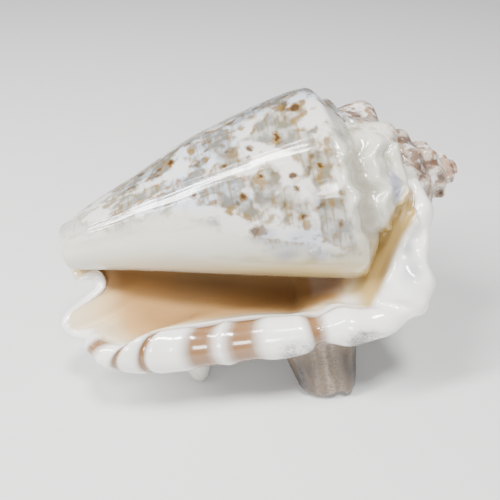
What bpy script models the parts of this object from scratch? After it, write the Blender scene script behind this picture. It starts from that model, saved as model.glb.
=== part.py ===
"""Strombid conch shell resting on the knobs of its back, with the mouth facing forward and up.

The shell is shaped as it grows. A section of the whorl turns about the shell's own axis and
widens, and each whorl starts on the one before it. The filled core holds every whorl up to the
end of the hollow. The last half turn is a wall round that hollow, and it leaves the spiral to
spread into the thick outer lip.

Sizes are in millimetres in the shell's own frame: along the axis from the columella's tip to
the apex, forward out of the mouth, and out towards the lip. MM makes them metres. Angles run
from the lip's side forward, and turns count whole angles: turn 0 is at the lip's side, and
turn -1 is one whorl earlier.
"""

import math

import bmesh
import bpy
import numpy as np
from mathutils import Matrix, Vector

MM = 0.001
FULL = 2 * math.pi
LENGTH = 80.0  # from the columella's tip to the apex

# Shoulder, where a whorl is widest: turn, radius, and distance below the apex.
SHOULDER = (
    (-6.0, 1.0, 0.2), (-5.5, 1.8, 0.7), (-5.0, 2.5, 1.5), (-4.5, 3.4, 2.6), (-4.0, 4.6, 4.2),
    (-3.5, 6.1, 6.1), (-3.0, 7.8, 8.4), (-2.5, 9.7, 10.7), (-2.0, 12.0, 12.8), (-1.5, 14.8, 15.5),
    (-1.0, 17.7, 21.8), (-0.75, 19.4, 24.6), (-0.5, 21.4, 27.2), (-0.25, 24.6, 30.6),
    (0.0, 28.0, 34.0), (0.25, 29.5, 36.0),
)
# Suture, where a whorl starts on the one before it: turn, radius, and distance below the apex.
SUTURE = (
    (-6.0, 0.2, 0.0), (-5.5, 0.9, 0.3), (-5.0, 1.5, 0.8), (-4.5, 2.2, 1.6), (-4.0, 3.0, 2.8),
    (-3.5, 4.0, 4.3), (-3.0, 5.2, 6.2), (-2.5, 6.5, 8.4), (-2.0, 7.8, 11.2), (-1.5, 10.5, 14.1),
    (-1.0, 13.4, 18.2), (-0.5, 16.6, 22.7), (-0.25, 15.0, 21.0), (0.0, 12.5, 16.6),
    (0.12, 10.5, 12.6), (0.25, 8.8, 10.4),
)
RAMP = 0.30  # share of the section that lies above the shoulder
# Flank below the shoulder: share of the way down, share of the shoulder's height, and radius
# as a share of the shoulder's, on the body whorl, the whorl inside it and the spire.
FLANK = (
    (0.00, 1.000, 1.000, 1.000, 1.00), (0.08, 0.940, 0.995, 0.960, 1.05),
    (0.16, 0.883, 0.975, 0.915, 1.10), (0.28, 0.764, 0.914, 0.822, 1.00),
    (0.40, 0.641, 0.837, 0.722, 0.85), (0.52, 0.518, 0.742, 0.622, 0.70),
    (0.63, 0.391, 0.606, 0.517, 0.55), (0.74, 0.265, 0.484, 0.415, 0.45),
    (0.82, 0.180, 0.407, 0.350, 0.35), (0.90, 0.095, 0.310, 0.290, 0.28),
    (0.95, 0.045, 0.225, 0.255, 0.22), (0.98, 0.012, 0.130, 0.200, 0.15), (1.00, 0.0, 0.0, 0.0, 0.0),
)
# Edge of the outer lip, from the spire round to the columella's tip: share of the section,
# then how far it lies along, out and forward. It waves at the two notches of the front end.
LIP_EDGE = (
    (0.000, 69.3, 1.0, 8.9), (0.030, 69.8, 4.4, 9.8), (0.055, 69.5, 7.4, 10.2),
    (0.080, 69.7, 10.4, 10.0), (0.115, 68.7, 15.0, 9.0), (0.150, 67.6, 19.7, 8.5),
    (0.180, 66.8, 23.5, 8.0), (0.210, 64.5, 26.4, 8.0), (0.240, 60.3, 27.7, 8.0),
    (0.270, 54.7, 28.4, 8.0), (0.300, 49.2, 28.0, 7.5), (0.370, 41.7, 29.0, 6.5),
    (0.450, 32.2, 28.4, 6.0), (0.540, 22.7, 27.6, 6.0), (0.630, 13.3, 26.2, 6.5),
    (0.690, 7.5, 23.9, 7.0), (0.730, 4.1, 20.7, 7.0), (0.765, 3.5, 18.6, 4.5),
    (0.800, 0.2, 17.4, 2.5), (0.840, -1.4, 14.2, 2.5), (0.875, -0.1, 11.8, 1.5),
    (0.910, 3.0, 9.8, 0.0), (0.940, 5.1, 8.2, -1.0), (0.970, 4.2, 5.8, -1.0),
    (1.000, 1.8, 3.6, 0.0),
)
# Wall thickness at the lip's edge: share of the section, thickness.
LIP_THICKNESS = (
    (0.0, 2.4), (0.08, 2.8), (0.18, 3.4), (0.24, 4.8), (0.30, 6.6), (0.37, 8.0), (0.54, 8.6),
    (0.66, 8.0), (0.73, 4.6), (0.765, 3.0), (0.84, 2.2), (1.0, 1.8),
)
WALL = 2.2  # wall thickness away from the lip
HOLLOW_END = -200.0 / 360.0  # turn at which the modelled hollow stops
FLARE_START = -40.0 / 360.0  # turn at which the lip starts to spread

# Channel behind the mouth, between the body and the lip's flange. Its line is seen from the
# front, as distance along and out. The foot gives, by turn, how far below the suture the
# flange stands on the core.
CHANNEL = ((53.5, 22.5), (56.5, 19.0), (58.3, 16.2), (60.4, 12.7), (63.3, 8.4), (65.2, 6.4), (67.2, 4.4))
CHANNEL_HALF_WIDTH = 1.3
CHANNEL_DEPTH = 3.2
FLANGE_FOOT = (
    (-0.60, 2.86), (-0.15, 2.86), (-0.08, 4.0), (0.0, 6.6), (0.04, 6.8), (0.08, 6.6),
    (0.12, 5.6), (0.16, 4.6), (0.20, 3.2), (0.25, 2.4),
)
# Flange by distance along: how far forward it lies, and its radius where it covers the spire.
FLANGE = (
    (50.0, 7.5, 10.0), (55.0, 8.5, 11.5), (57.0, 9.2, 12.0), (60.0, 10.2, 15.0), (64.0, 11.0, 15.4),
    (66.5, 11.0, 15.2), (68.0, 10.5, 13.4), (69.5, 10.0, 10.0),
)

KNOBS_PER_TURN = 7.2  # small knobs along the shoulder
KNOB_CROWDING = 0.3  # how much closer they stand on the early whorls
# Big knobs of the back and of the lip's underside: distance along the axis, angle in degrees,
# height, half length along the axis, half width round it, and how square the knob's end is.
BIG_KNOBS = (
    (42.9, -8.0, 10.2, 3.6, 4.6, 2.0),
    (46.6, -8.0, 11.0, 3.6, 4.6, 2.0),
    (50.3, -8.0, 13.1, 3.6, 4.6, 2.0),
    (20.6, -15.0, 11.2, 4.0, 4.4, 1.3),
    (41.5, -58.0, 11.0, 6.0, 6.0, 1.3),
    (46.0, -100.0, 3.4, 5.0, 5.0, 1.2),
    (49.0, -150.0, 1.8, 4.0, 4.0, 1.2),
)

VIEW_PITCH = 37.0  # how far back the mouth leans at rest, degrees
AXIS_TILT = 11.76  # how far the spire is raised at rest, degrees
WORN = 0.8  # depth worn off the knobs that the shell rests on

WHORLS = 6  # whole whorls before the hollow's end
WALL_COLUMNS = 36
FACE_COLUMNS = 10  # columns of the core that the wall leaves open
PER_TURN = WALL_COLUMNS + FACE_COLUMNS
SPIRE_ROWS = 5
FOOT_ROWS = 3  # rows across the flange's foot
BODY_ROWS = 24  # rows from the flange's foot to the columella's tip
ROWS = SPIRE_ROWS + FOOT_ROWS + BODY_ROWS
EDGE_STEPS = 5  # steps round the lip's edge
SETTLING = 80  # times that the lining near the lip is averaged
FINE = np.linspace(0.0, 1.0, 241)  # samples of one whorl's outline


def through(keys, column, where):
    """Smooth curve through one column of a key table, read at where."""
    table = np.array(keys, float)
    x, y = table[:, 0], table[:, column]
    slope = np.gradient(y, x)
    i = np.clip(np.searchsorted(x, where, side="right") - 1, 0, len(x) - 2)
    step = x[i + 1] - x[i]
    t = np.clip((where - x[i]) / step, 0.0, 1.0)
    return (
        y[i] * (2 * t**3 - 3 * t**2 + 1)
        + slope[i] * step * (t**3 - 2 * t**2 + t)
        + y[i + 1] * (3 * t**2 - 2 * t**3)
        + slope[i + 1] * step * (t**3 - t**2)
    )


def ease(x):
    """0 below 0, 1 above 1, and smooth between."""
    x = np.clip(x, 0.0, 1.0)
    return x * x * (3 - 2 * x)


def knob_height(turn):
    """Height of the small knobs along the shoulder, which fade out on the body whorl."""
    count = KNOBS_PER_TURN * turn - KNOB_CROWDING * turn**2
    wave = (0.5 + 0.5 * np.cos(FULL * count)) ** 1.5
    return 0.10 * through(SHOULDER, 1, turn) * wave * ease((-1.05 - turn) / 0.2)


def section(turn, v):
    """Distance along the axis and radius of a whorl, at share v of its section."""
    wide, deep = through(SHOULDER, 1, turn), through(SHOULDER, 2, turn)
    start, start_deep = through(SUTURE, 1, turn), through(SUTURE, 2, turn)
    ramp = np.clip(v / RAMP, 0.0, 1.0)
    down = np.clip((v - RAMP) / (1 - RAMP), 0.0, 1.0)
    body = ease((turn + 1.05) / 0.5)
    spire = ease((-1.0 - turn) / 0.3)
    grown = body * through(FLANK, 2, down) + (1 - body) * through(FLANK, 3, down)
    flank = grown * (1 - spire) + spire * through(FLANK, 4, down)
    dip = 0.108 * np.sin(math.pi * ramp) * (wide - start)
    above = v < RAMP
    radius = np.where(above, start + (wide - start) * ramp - dip, wide * flank)
    height = np.where(
        above,
        LENGTH - start_deep + (start_deep - deep) * ramp**1.3,
        (LENGTH - deep) * through(FLANK, 1, down),
    )
    spread = np.where(above, 0.11, 0.075)
    return height, radius + np.exp(-(((v - RAMP) / spread) ** 2)) * knob_height(turn)


def cylindrical(along, radius, turn):
    """Points from distance along the axis, radius and turn."""
    return np.stack([along, radius * np.sin(FULL * turn), radius * np.cos(FULL * turn)], -1)


def widened(points, scale):
    """Points with their distance from the axis scaled."""
    return points * np.stack([np.ones_like(scale), scale, scale], -1)


def core_radius(turn, along):
    """Radius of the filled whorls up to a turn, at distances along the axis."""
    radius = np.minimum(0.35 * np.sqrt(np.maximum(LENGTH - along, 0.0)), 0.5 * np.maximum(along, 0.0))
    while turn > SHOULDER[0][0]:
        height, outline = section(np.full_like(FINE, turn), FINE)
        radius = np.maximum(radius, np.interp(along, height[::-1], outline[::-1], right=0.0))
        turn -= 1
    return radius


def radius_under(points):
    """Radius of the core under each point of the wall."""
    turns = np.linspace(HOLLOW_END - 1, HOLLOW_END, 91)
    heights = np.linspace(-5.0, LENGTH, 171)
    table = np.array([core_radius(turn, heights) for turn in turns])
    turn = np.arctan2(points[..., 1], points[..., 2]) / FULL
    turn = turn - np.floor(turn - turns[0] + 1e-9)
    place = np.clip((turn - turns[0]) * (len(turns) - 1), 0, len(turns) - 1.001)
    level = (points[..., 0] - heights[0]) / (heights[1] - heights[0])
    level = np.clip(level, 0, len(heights) - 1.001)
    i, j = place.astype(int), level.astype(int)
    a, b = place - i, level - j
    near = table[i, j] * (1 - b) + table[i, j + 1] * b
    far = table[i + 1, j] * (1 - b) + table[i + 1, j + 1] * b
    return near * (1 - a) + far * a


def face_normals(points):
    """Unit normals of a grid of points, facing away from the axis."""
    normal = np.cross(np.gradient(points, axis=0), np.gradient(points, axis=1))
    normal /= np.maximum(np.linalg.norm(normal, axis=-1, keepdims=True), 1e-9)
    middle = tuple(n // 2 for n in points.shape[:2])
    outward = (normal[middle][1:] * points[middle][1:]).sum() > 0
    return normal if outward else -normal


def suture_height(turn):
    """Distance along the axis at which the whorl at a turn starts."""
    return LENGTH - through(SUTURE, 2, turn)


def column_turns():
    """Turn of every column, from the apex to the lip, at the same angles in every whorl."""
    lip_turn = math.atan2(LIP_EDGE[0][3], LIP_EDGE[0][2]) / FULL
    covered = np.linspace(HOLLOW_END, lip_turn, WALL_COLUMNS + 1)
    bare = np.linspace(lip_turn, HOLLOW_END + 1, FACE_COLUMNS + 1)
    pattern = np.concatenate([covered[:-1], bare[:-1]])
    return np.concatenate([pattern + whorl for whorl in range(-WHORLS, 0)] + [covered])


def emergence(turn):
    """Distance along the axis and radius at which a whorl comes out of the ones before it."""
    if turn < SHOULDER[0][0] + 1:
        return LENGTH, 0.0
    along = np.linspace(suture_height(turn), LENGTH - through(SHOULDER, 2, turn), 61)
    before = core_radius(turn - 1, along)
    height, outline = section(np.full_like(FINE, turn), FINE)
    own = np.interp(along, height[::-1], outline[::-1], right=0.0)
    out = np.nonzero(own > before + 0.02)[0]
    first = out[0] if len(out) else len(along) - 1
    return float(along[first]), float(before[first])


def seam_line(turns):
    """Line along which each whorl starts: distance along the axis and radius for each column."""
    last_full = WHORLS * PER_TURN
    mouth = last_full - FACE_COLUMNS
    seam = np.zeros((len(turns), 2))
    for i in range(last_full, len(turns)):
        height = suture_height(turns[i])
        seam[i] = height, core_radius(turns[i] - 1, np.array([height]))[0]
    seam[mouth] = seam[mouth + PER_TURN]
    for i in range(mouth + 1, last_full):
        bare = ease((turns[i] - turns[mouth]) / (HOLLOW_END - turns[mouth]))
        height = seam[mouth][0] + (seam[last_full][0] - seam[mouth][0]) * bare
        own, before = (core_radius(turns[i] - back, np.array([height]))[0] for back in (0, 1))
        seam[i] = height, own + (before - own) * bare
    for i in range(mouth - 1, -1, -1):
        seam[i] = max(emergence(turns[i]), tuple(seam[i + PER_TURN]))
    return seam


def spire_ribbon(turns, seam):
    """The whorls above the wall as one ribbon of columns, each from its suture to the next one."""
    start = int(np.searchsorted(turns, SHOULDER[0][0])) - 1
    last = WHORLS * PER_TURN - FACE_COLUMNS
    columns = []
    for i in range(start, last + 1):
        (top, top_radius), (low, low_radius) = seam[i], seam[i + PER_TURN]
        fine = np.linspace(top, low, 25)
        radius = core_radius(turns[i], fine)
        run = np.concatenate([[0.0], np.cumsum(np.hypot(np.diff(fine), np.diff(radius)))])
        even = np.linspace(0.0, run[-1], SPIRE_ROWS + 1)
        along = np.interp(even, run, fine)
        across = np.interp(even, run, radius)
        across[0], across[-1] = top_radius, low_radius
        if top == low:
            along[:], across[:] = top, top_radius
        columns.append(cylindrical(along, across, np.full_like(along, turns[i])))
    ribbon = np.array(columns)
    ribbon[0] = (LENGTH, 0.0, 0.0)
    return ribbon


def flange_foot(turn):
    """Distance along the axis at which the wall's inner face stands on the core."""
    return suture_height(turn) - through(FLANGE_FOOT, 1, turn)


def columella(turns, v):
    """Core's surface inside the hollow, from the wall's foot to the tip."""
    height, _ = section(np.full_like(v, HOLLOW_END), v)
    fall = height[SPIRE_ROWS + FOOT_ROWS:] / height[SPIRE_ROWS + FOOT_ROWS]
    first = (WHORLS - 1) * PER_TURN
    columns = []
    for turn in turns[first: first + WALL_COLUMNS + 1]:
        along = flange_foot(turn + 1) * fall
        radius = core_radius(turn, along)
        radius[-1] = 0.0
        columns.append(cylindrical(along, radius, np.full_like(along, turn)))
    return carved(np.array(columns))


def bare_face(turns, seam, ribbon, core_end, wall_start):
    """Body's face beside the mouth, between the lip's end and the wall."""
    last_full = WHORLS * PER_TURN
    mouth = last_full - FACE_COLUMNS
    start = np.concatenate([
        np.full(SPIRE_ROWS, seam[mouth, 0]),
        np.linspace(seam[mouth, 0], flange_foot(turns[-1]), FOOT_ROWS + 1),
        core_end[1:, 0],
    ])
    columns = []
    for i in range(mouth, last_full + 1):
        share = (i - mouth) / FACE_COLUMNS
        along = start + (wall_start[:, 0] - start) * ease(share)
        along[0] = seam[i, 0]
        radius = core_radius(turns[i], along)
        radius[0] = seam[i, 1]
        radius[-1] = 0.0
        columns.append(cylindrical(along, radius, np.full_like(along, turns[i])))
    face = carved(np.array(columns))
    pull = ease((np.linspace(0, 1, FACE_COLUMNS + 1) - 0.4) / 0.6)[:, None, None]
    face += (wall_start - face[-1]) * pull
    face[0, : SPIRE_ROWS + 1] = ribbon[-1]
    face[0, SPIRE_ROWS + FOOT_ROWS:] = core_end
    face[:, 0] = cylindrical(seam[mouth: last_full + 1, 0], seam[mouth: last_full + 1, 1],
                             turns[mouth: last_full + 1])
    face[-1] = wall_start
    return face


def right_of_channel(points):
    """How far points lie to the flange's side of the channel's middle, seen from the front."""
    nearest = np.full(points.shape[:-1], np.inf)
    signed = np.zeros(points.shape[:-1])
    place = points[..., [0, 2]]
    for a, b in zip(CHANNEL[:-1], CHANNEL[1:]):
        start, run = np.array(a), np.array(b) - np.array(a)
        t = np.clip(((place - start) @ run) / (run @ run), 0.0, 1.0)
        gap = place - (start + t[..., None] * run)
        far = np.linalg.norm(gap, axis=-1)
        side = np.sign(gap[..., 1] * run[0] - gap[..., 0] * run[1])
        signed = np.where(far < nearest, far * side, signed)
        nearest = np.minimum(nearest, far)
    return signed


def carved(points):
    """Core's points with the channel's left bank and floor sunk into them."""
    right = right_of_channel(points) / CHANNEL_HALF_WIDTH
    facing = ease((points[..., 1] - 2.0) / 4.0)
    inside = ease((points[..., 0] - 52.0) / 5.0)
    moved = points.copy()
    moved[..., 1] -= CHANNEL_DEPTH * ease((right + 1.1) / 1.5) * facing * inside
    return moved


def flanged(points, near_lip):
    """Wall's inner points raised into the flange that closes over the spire's side."""
    right = right_of_channel(points) - CHANNEL_HALF_WIDTH
    cover = through(FLANGE, 2, points[..., 0])
    over = np.sqrt(np.maximum(cover**2 - points[..., 2] ** 2, 0.0))
    level = np.maximum(through(FLANGE, 1, points[..., 0]), over)
    rise = ease(right / 2.2) * ease((points[..., 0] - 50.0) / 6.0) * near_lip
    moved = points.copy()
    moved[..., 1] += np.maximum(level - points[..., 1], 0.0) * rise
    return moved


def settled(lining, loose):
    """Lining drawn smooth between its foot and the lip's edge, where it is loose."""
    points, start = lining.copy(), lining[1:-1, 1:-1]
    free = (loose + 0 * lining[..., 0])[1:-1, 1:-1, None]
    for _ in range(SETTLING):
        mean = 0.25 * (points[:-2, 1:-1] + points[2:, 1:-1] + points[1:-1, :-2] + points[1:-1, 2:])
        points[1:-1, 1:-1] = start + (mean - start) * free
    return points


def flared_wall(u, v):
    """Outer face of the last half turn before its knobs; u runs from the hollow's end to the lip."""
    along, out, forward = (through(LIP_EDGE, k, v) for k in (1, 2, 3))
    lip_turn = np.arctan2(forward, out) / FULL
    turn = HOLLOW_END + (lip_turn - HOLLOW_END) * u
    height, radius = section(turn, v)
    start = (FLARE_START - HOLLOW_END) / (lip_turn - HOLLOW_END)
    flare = np.clip((u - start) / (1 - start), 0.0, 1.0) ** 2
    height = height + (along - height) * flare
    radius = radius + (np.hypot(out, forward) - radius) * flare
    return cylindrical(height, radius, turn)


def with_big_knobs(points):
    """Outer face with the big knobs raised straight out from the axis."""
    radius = np.hypot(points[..., 1], points[..., 2])
    angle = np.arctan2(points[..., 1], points[..., 2])
    lift = np.zeros_like(radius)
    for along, degrees, height, half_length, half_width, squareness in BIG_KNOBS:
        across = (angle - math.radians(degrees)) * radius
        far = ((points[..., 0] - along) / half_length) ** 2 + (across / half_width) ** 2
        lift = np.maximum(lift, height * np.exp(-(far**squareness)))
    return widened(points, 1 + lift / np.maximum(radius, 1.0))


def wall_points(turns, seam, core, v):
    """Outer face, rounded edge and inner face of the wall, each a grid of columns."""
    u = np.linspace(0.0, 1.0, WALL_COLUMNS + 1)[:, None]
    outer = flared_wall(u + 0 * v, v + 0 * u)
    radius = np.hypot(outer[..., 1], outer[..., 2])
    under = radius_under(outer)
    room = np.maximum(radius - under, 0.0)
    clear = np.maximum(radius, under + WALL * ease(v / 0.06))
    outer = widened(outer, clear / np.maximum(radius, 1e-6))
    last_full = WHORLS * PER_TURN
    top = cylindrical(seam[last_full:, 0], seam[last_full:, 1], turns[last_full:])
    outer[:, 0] = top

    at_lip = ease((u - 0.62) / 0.38)
    thick = WALL + (through(LIP_THICKNESS, 1, v) - WALL) * at_lip
    thick = np.minimum(thick, np.maximum(0.55 * room, 0.4) + 20.0 * at_lip**2)
    thick = thick * ease((1 - v) / 0.05)
    normal = face_normals(outer)
    inner = outer - normal * thick[..., None]
    inner[:, 0] = core[:, 0]
    inner = settled(inner, ease((u - 0.45) / 0.2) * ease((0.46 - v) / 0.12))
    inner = flanged(inner, ease((u - 0.45) / 0.3) * ease(v / 0.02) * ease((0.46 - v) / 0.16))
    inner[:, 0] = core[:, 0]

    onward = outer[-1] - outer[-2]
    onward /= np.maximum(np.linalg.norm(onward, axis=-1, keepdims=True), 1e-9)
    half = 0.5 * thick[-1][:, None]
    middle = outer[-1] - normal[-1] * half
    angles = np.linspace(0, math.pi, EDGE_STEPS + 1)
    edge = np.array([middle + half * (normal[-1] * math.cos(a) + onward * math.sin(a)) for a in angles])

    outer = with_big_knobs(outer)
    outer[:, 0] = top
    edge[0], edge[-1] = outer[-1], inner[-1]
    return outer, edge, inner


class Skin:
    """One mesh from several sheets of points, which share the points where they meet."""

    def __init__(self):
        self.mesh = bmesh.new()
        self.verts = {}

    def vert(self, point):
        """The vertex at a point, made once."""
        key = tuple(round(c, 5) for c in point)
        if key not in self.verts:
            self.verts[key] = self.mesh.verts.new(Vector(point) * MM)
        return self.verts[key]

    def face(self, *points):
        """Face through points, without those that coincide."""
        corners = []
        for corner in map(self.vert, points):
            if corner not in corners:
                corners.append(corner)
        if len(corners) > 2:
            self.mesh.faces.new(corners)

    def sheet(self, points):
        """Quads between neighbouring points of a grid."""
        for i in range(points.shape[0] - 1):
            for j in range(points.shape[1] - 1):
                self.face(points[i, j], points[i + 1, j], points[i + 1, j + 1], points[i, j + 1])


def shell_skin():
    """Closed surface of the whole shell: spire, body, hollow, wall and lip."""
    v = np.linspace(0.0, 1.0, ROWS + 1)
    turns = column_turns()
    seam = seam_line(turns)
    ribbon = spire_ribbon(turns, seam)
    core = columella(turns, v)
    outer, edge, inner = wall_points(turns, seam, core, v)
    face = bare_face(turns, seam, ribbon, core[-1], outer[0])
    foot = np.round(np.linspace(0, FOOT_ROWS, EDGE_STEPS + 1)).astype(int)
    edge[:, 0] = face[0, SPIRE_ROWS + foot]

    skin = Skin()
    for points in (ribbon, face, core, outer, edge, inner):
        skin.sheet(points)
    lead = ROWS - BODY_ROWS
    for k in range(ROWS):
        a, b = (max(k + step - lead, 0) for step in (0, 1))
        skin.face(core[0, a], inner[0, k], inner[0, k + 1], core[0, b])
    bmesh.ops.recalc_face_normals(skin.mesh, faces=skin.mesh.faces)
    return skin.mesh


def resting_turn():
    """Rotation from the shell's own frame to the resting pose."""
    pitch, tilt = math.radians(VIEW_PITCH), math.radians(AXIS_TILT)
    up = Vector((0, math.sin(pitch), math.cos(pitch)))
    right = Vector((1, 0, 0))
    along = right * math.cos(tilt) + up * math.sin(tilt)
    out = right * math.sin(tilt) - up * math.cos(tilt)
    forward = Vector((0, -math.cos(pitch), math.sin(pitch)))
    return Matrix((along, forward, out)).transposed().to_4x4()


def resting_place(bm):
    """Pose that centres the shell over the origin, with the ground worn into its lowest knobs."""
    pose = resting_turn()
    placed = [pose @ vert.co for vert in bm.verts]
    low, high = (Vector([limit(p[k] for p in placed) for k in range(3)]) for limit in (min, max))
    centre = (low + high) / 2
    pose.translation = (-centre.x, -centre.y, -low.z - WORN * MM)
    return pose


def wear_flat(bm, pose):
    """Cuts the shell off at the ground, which leaves a small flat on each knob it rests on."""
    to_shell = pose.inverted()
    ground = to_shell @ Vector((0, 0, 0))
    below = to_shell.to_3x3() @ Vector((0, 0, -1))
    parts = bm.verts[:] + bm.edges[:] + bm.faces[:]
    bmesh.ops.bisect_plane(bm, geom=parts, dist=1e-7, plane_co=ground, plane_no=below, clear_outer=True)
    rim = [edge for edge in bm.edges if edge.is_boundary]
    flats = bmesh.ops.holes_fill(bm, edges=rim, sides=0)["faces"]
    bmesh.ops.triangulate(bm, faces=flats)
    bmesh.ops.recalc_face_normals(bm, faces=bm.faces)


def porcelain():
    """Glossy cream shell."""
    material = bpy.data.materials.new("shell_porcelain")
    material.use_nodes = True
    shader = material.node_tree.nodes["Principled BSDF"]
    shader.inputs["Base Color"].default_value = (0.78, 0.72, 0.60, 1.0)
    shader.inputs["Roughness"].default_value = 0.25
    shader.inputs["Metallic"].default_value = 0.0
    return material


def build():
    """Makes the shell at rest on z = 0, centred on the origin."""
    skin = shell_skin()
    pose = resting_place(skin)
    wear_flat(skin, pose)
    mesh = bpy.data.meshes.new("conch_shell")
    skin.to_mesh(mesh)
    skin.free()
    mesh.shade_smooth()
    mesh.set_sharp_from_angle(angle=math.radians(60))
    mesh.materials.append(porcelain())
    shell = bpy.data.objects.new("conch_shell", mesh)
    shell.matrix_world = pose
    collection = bpy.data.collections.new("conch shell")
    bpy.context.scene.collection.children.link(collection)
    collection.objects.link(shell)
    return shell


def clear_scene():
    """Removes every object of the scene."""
    for obj in list(bpy.data.objects):
        bpy.data.objects.remove(obj)


if __name__ == "__main__":
    clear_scene()
    build()
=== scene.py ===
"""Looks of a strombid conch shell that rests on the knobs of its back.

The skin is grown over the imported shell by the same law: a section of the whorl turns about the
shell's axis and widens. It is one closed piece, with a spire whose rows follow the whorls, the
glazed face beside the mouth, the wall of the last half turn, its thick rolled lip, and the
hollow behind the mouth.

Sizes are in millimetres in the shell's own frame: along the axis from the columella's tip to
the apex, forward out of the mouth, and out towards the lip. Turns count whole angles from the
lip's side forward, and turn -1 is one whorl earlier.
"""

import logging
import math
from dataclasses import dataclass, field
from enum import Enum

import bmesh
import bpy
import numpy as np
from mathutils import Matrix, Vector, noise


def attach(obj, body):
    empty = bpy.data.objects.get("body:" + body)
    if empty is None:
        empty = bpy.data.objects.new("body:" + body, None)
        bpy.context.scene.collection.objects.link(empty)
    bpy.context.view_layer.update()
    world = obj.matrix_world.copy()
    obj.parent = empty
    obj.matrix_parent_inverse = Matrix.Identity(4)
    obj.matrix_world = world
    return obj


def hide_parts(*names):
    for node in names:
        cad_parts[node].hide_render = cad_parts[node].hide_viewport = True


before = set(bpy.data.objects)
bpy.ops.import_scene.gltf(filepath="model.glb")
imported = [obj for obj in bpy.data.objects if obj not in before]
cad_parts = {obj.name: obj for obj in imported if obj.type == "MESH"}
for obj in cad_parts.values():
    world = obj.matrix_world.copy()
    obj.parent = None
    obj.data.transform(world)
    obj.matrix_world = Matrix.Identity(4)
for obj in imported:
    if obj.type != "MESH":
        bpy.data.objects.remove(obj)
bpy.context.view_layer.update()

LOG = logging.getLogger("conch")
MM = 0.001
FULL = 2 * math.pi
# Farther from the lip's edge than any finish asks for, in millimetres.
FAR = 99.0
# Smallest number that a length is divided by.
TINY = 1e-6
Array = np.ndarray
Keys = tuple[tuple[float, ...], ...]
Triple = tuple[float, float, float]
Socket = bpy.types.NodeSocket


def through(keys: Keys, column: int, where: Array) -> Array:
    """Reads a smooth curve through one column of a key table.

    Args:
        keys: Rows that start with the place and go on with the values.
        column: Which value of a row to read.
        where: Places to read at.

    Returns:
        The value at each place.
    """
    table = np.array(keys, float)
    x, y = table[:, 0], table[:, column]
    slope = np.gradient(y, x)
    i = np.clip(np.searchsorted(x, where, side="right") - 1, 0, len(x) - 2)
    step = x[i + 1] - x[i]
    t = np.clip((where - x[i]) / step, 0.0, 1.0)
    return (
        y[i] * (2 * t**3 - 3 * t**2 + 1)
        + slope[i] * step * (t**3 - 2 * t**2 + t)
        + y[i + 1] * (3 * t**2 - 2 * t**3)
        + slope[i + 1] * step * (t**3 - t**2)
    )


def ease(x: Array) -> Array:
    """Gives 0 below 0, 1 above 1, and a smooth rise between."""
    x = np.clip(x, 0.0, 1.0)
    return x * x * (3 - 2 * x)


def between(x: Array, low: float, rise: float, high: float, fall: float) -> Array:
    """Gives 1 between two levels, with a smooth rise after low and a smooth fall before high."""
    return ease((x - low) / rise) * ease((high - x) / fall)


def bell(x: Array, middle: float, half: float) -> Array:
    """Gives a smooth bump of height 1 at a middle, about two halves wide."""
    return np.exp(-(((x - middle) / half) ** 2))


def cylindrical(along: Array, radius: Array, turn: Array) -> Array:
    """Places points by distance along the axis, radius and turn."""
    return np.stack([along, radius * np.sin(FULL * turn), radius * np.cos(FULL * turn)], -1)


def widened(points: Array, scale: Array) -> Array:
    """Scales the distance of points from the axis."""
    return points * np.stack([np.ones_like(scale), scale, scale], -1)


def unit(vectors: Array) -> Array:
    """Scales vectors to length 1."""
    return vectors / np.maximum(np.linalg.norm(vectors, axis=-1, keepdims=True), 1e-9)


def softened(grid: Array, rounds: int) -> Array:
    """Smooths a grid of vectors with its neighbours a number of times.

    Args:
        grid: Vectors in rows and columns.
        rounds: How many times each is averaged.

    Returns:
        The smoothed grid.
    """
    for _ in range(rounds):
        padded = np.pad(grid, ((1, 1), (1, 1), (0, 0)), mode="edge")
        around = padded[:-2, 1:-1] + padded[2:, 1:-1] + padded[1:-1, :-2] + padded[1:-1, 2:]
        grid = 0.5 * grid + 0.125 * around
    return grid


def run_to_last(grid: Array) -> Array:
    """Gives how far each point of a grid lies from its last column, along the surface."""
    run = np.linalg.norm(np.diff(grid, axis=0), axis=-1)
    return np.concatenate([np.cumsum(run[::-1], axis=0)[::-1], np.zeros((1, grid.shape[1]))])


class Region(Enum):
    """Sheets that the skin is made of."""

    SPIRE = 0
    FACE = 1
    WALL = 2
    EDGE = 3
    LINING = 4
    COLUMELLA = 5
    DEAD_END = 6


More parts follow.
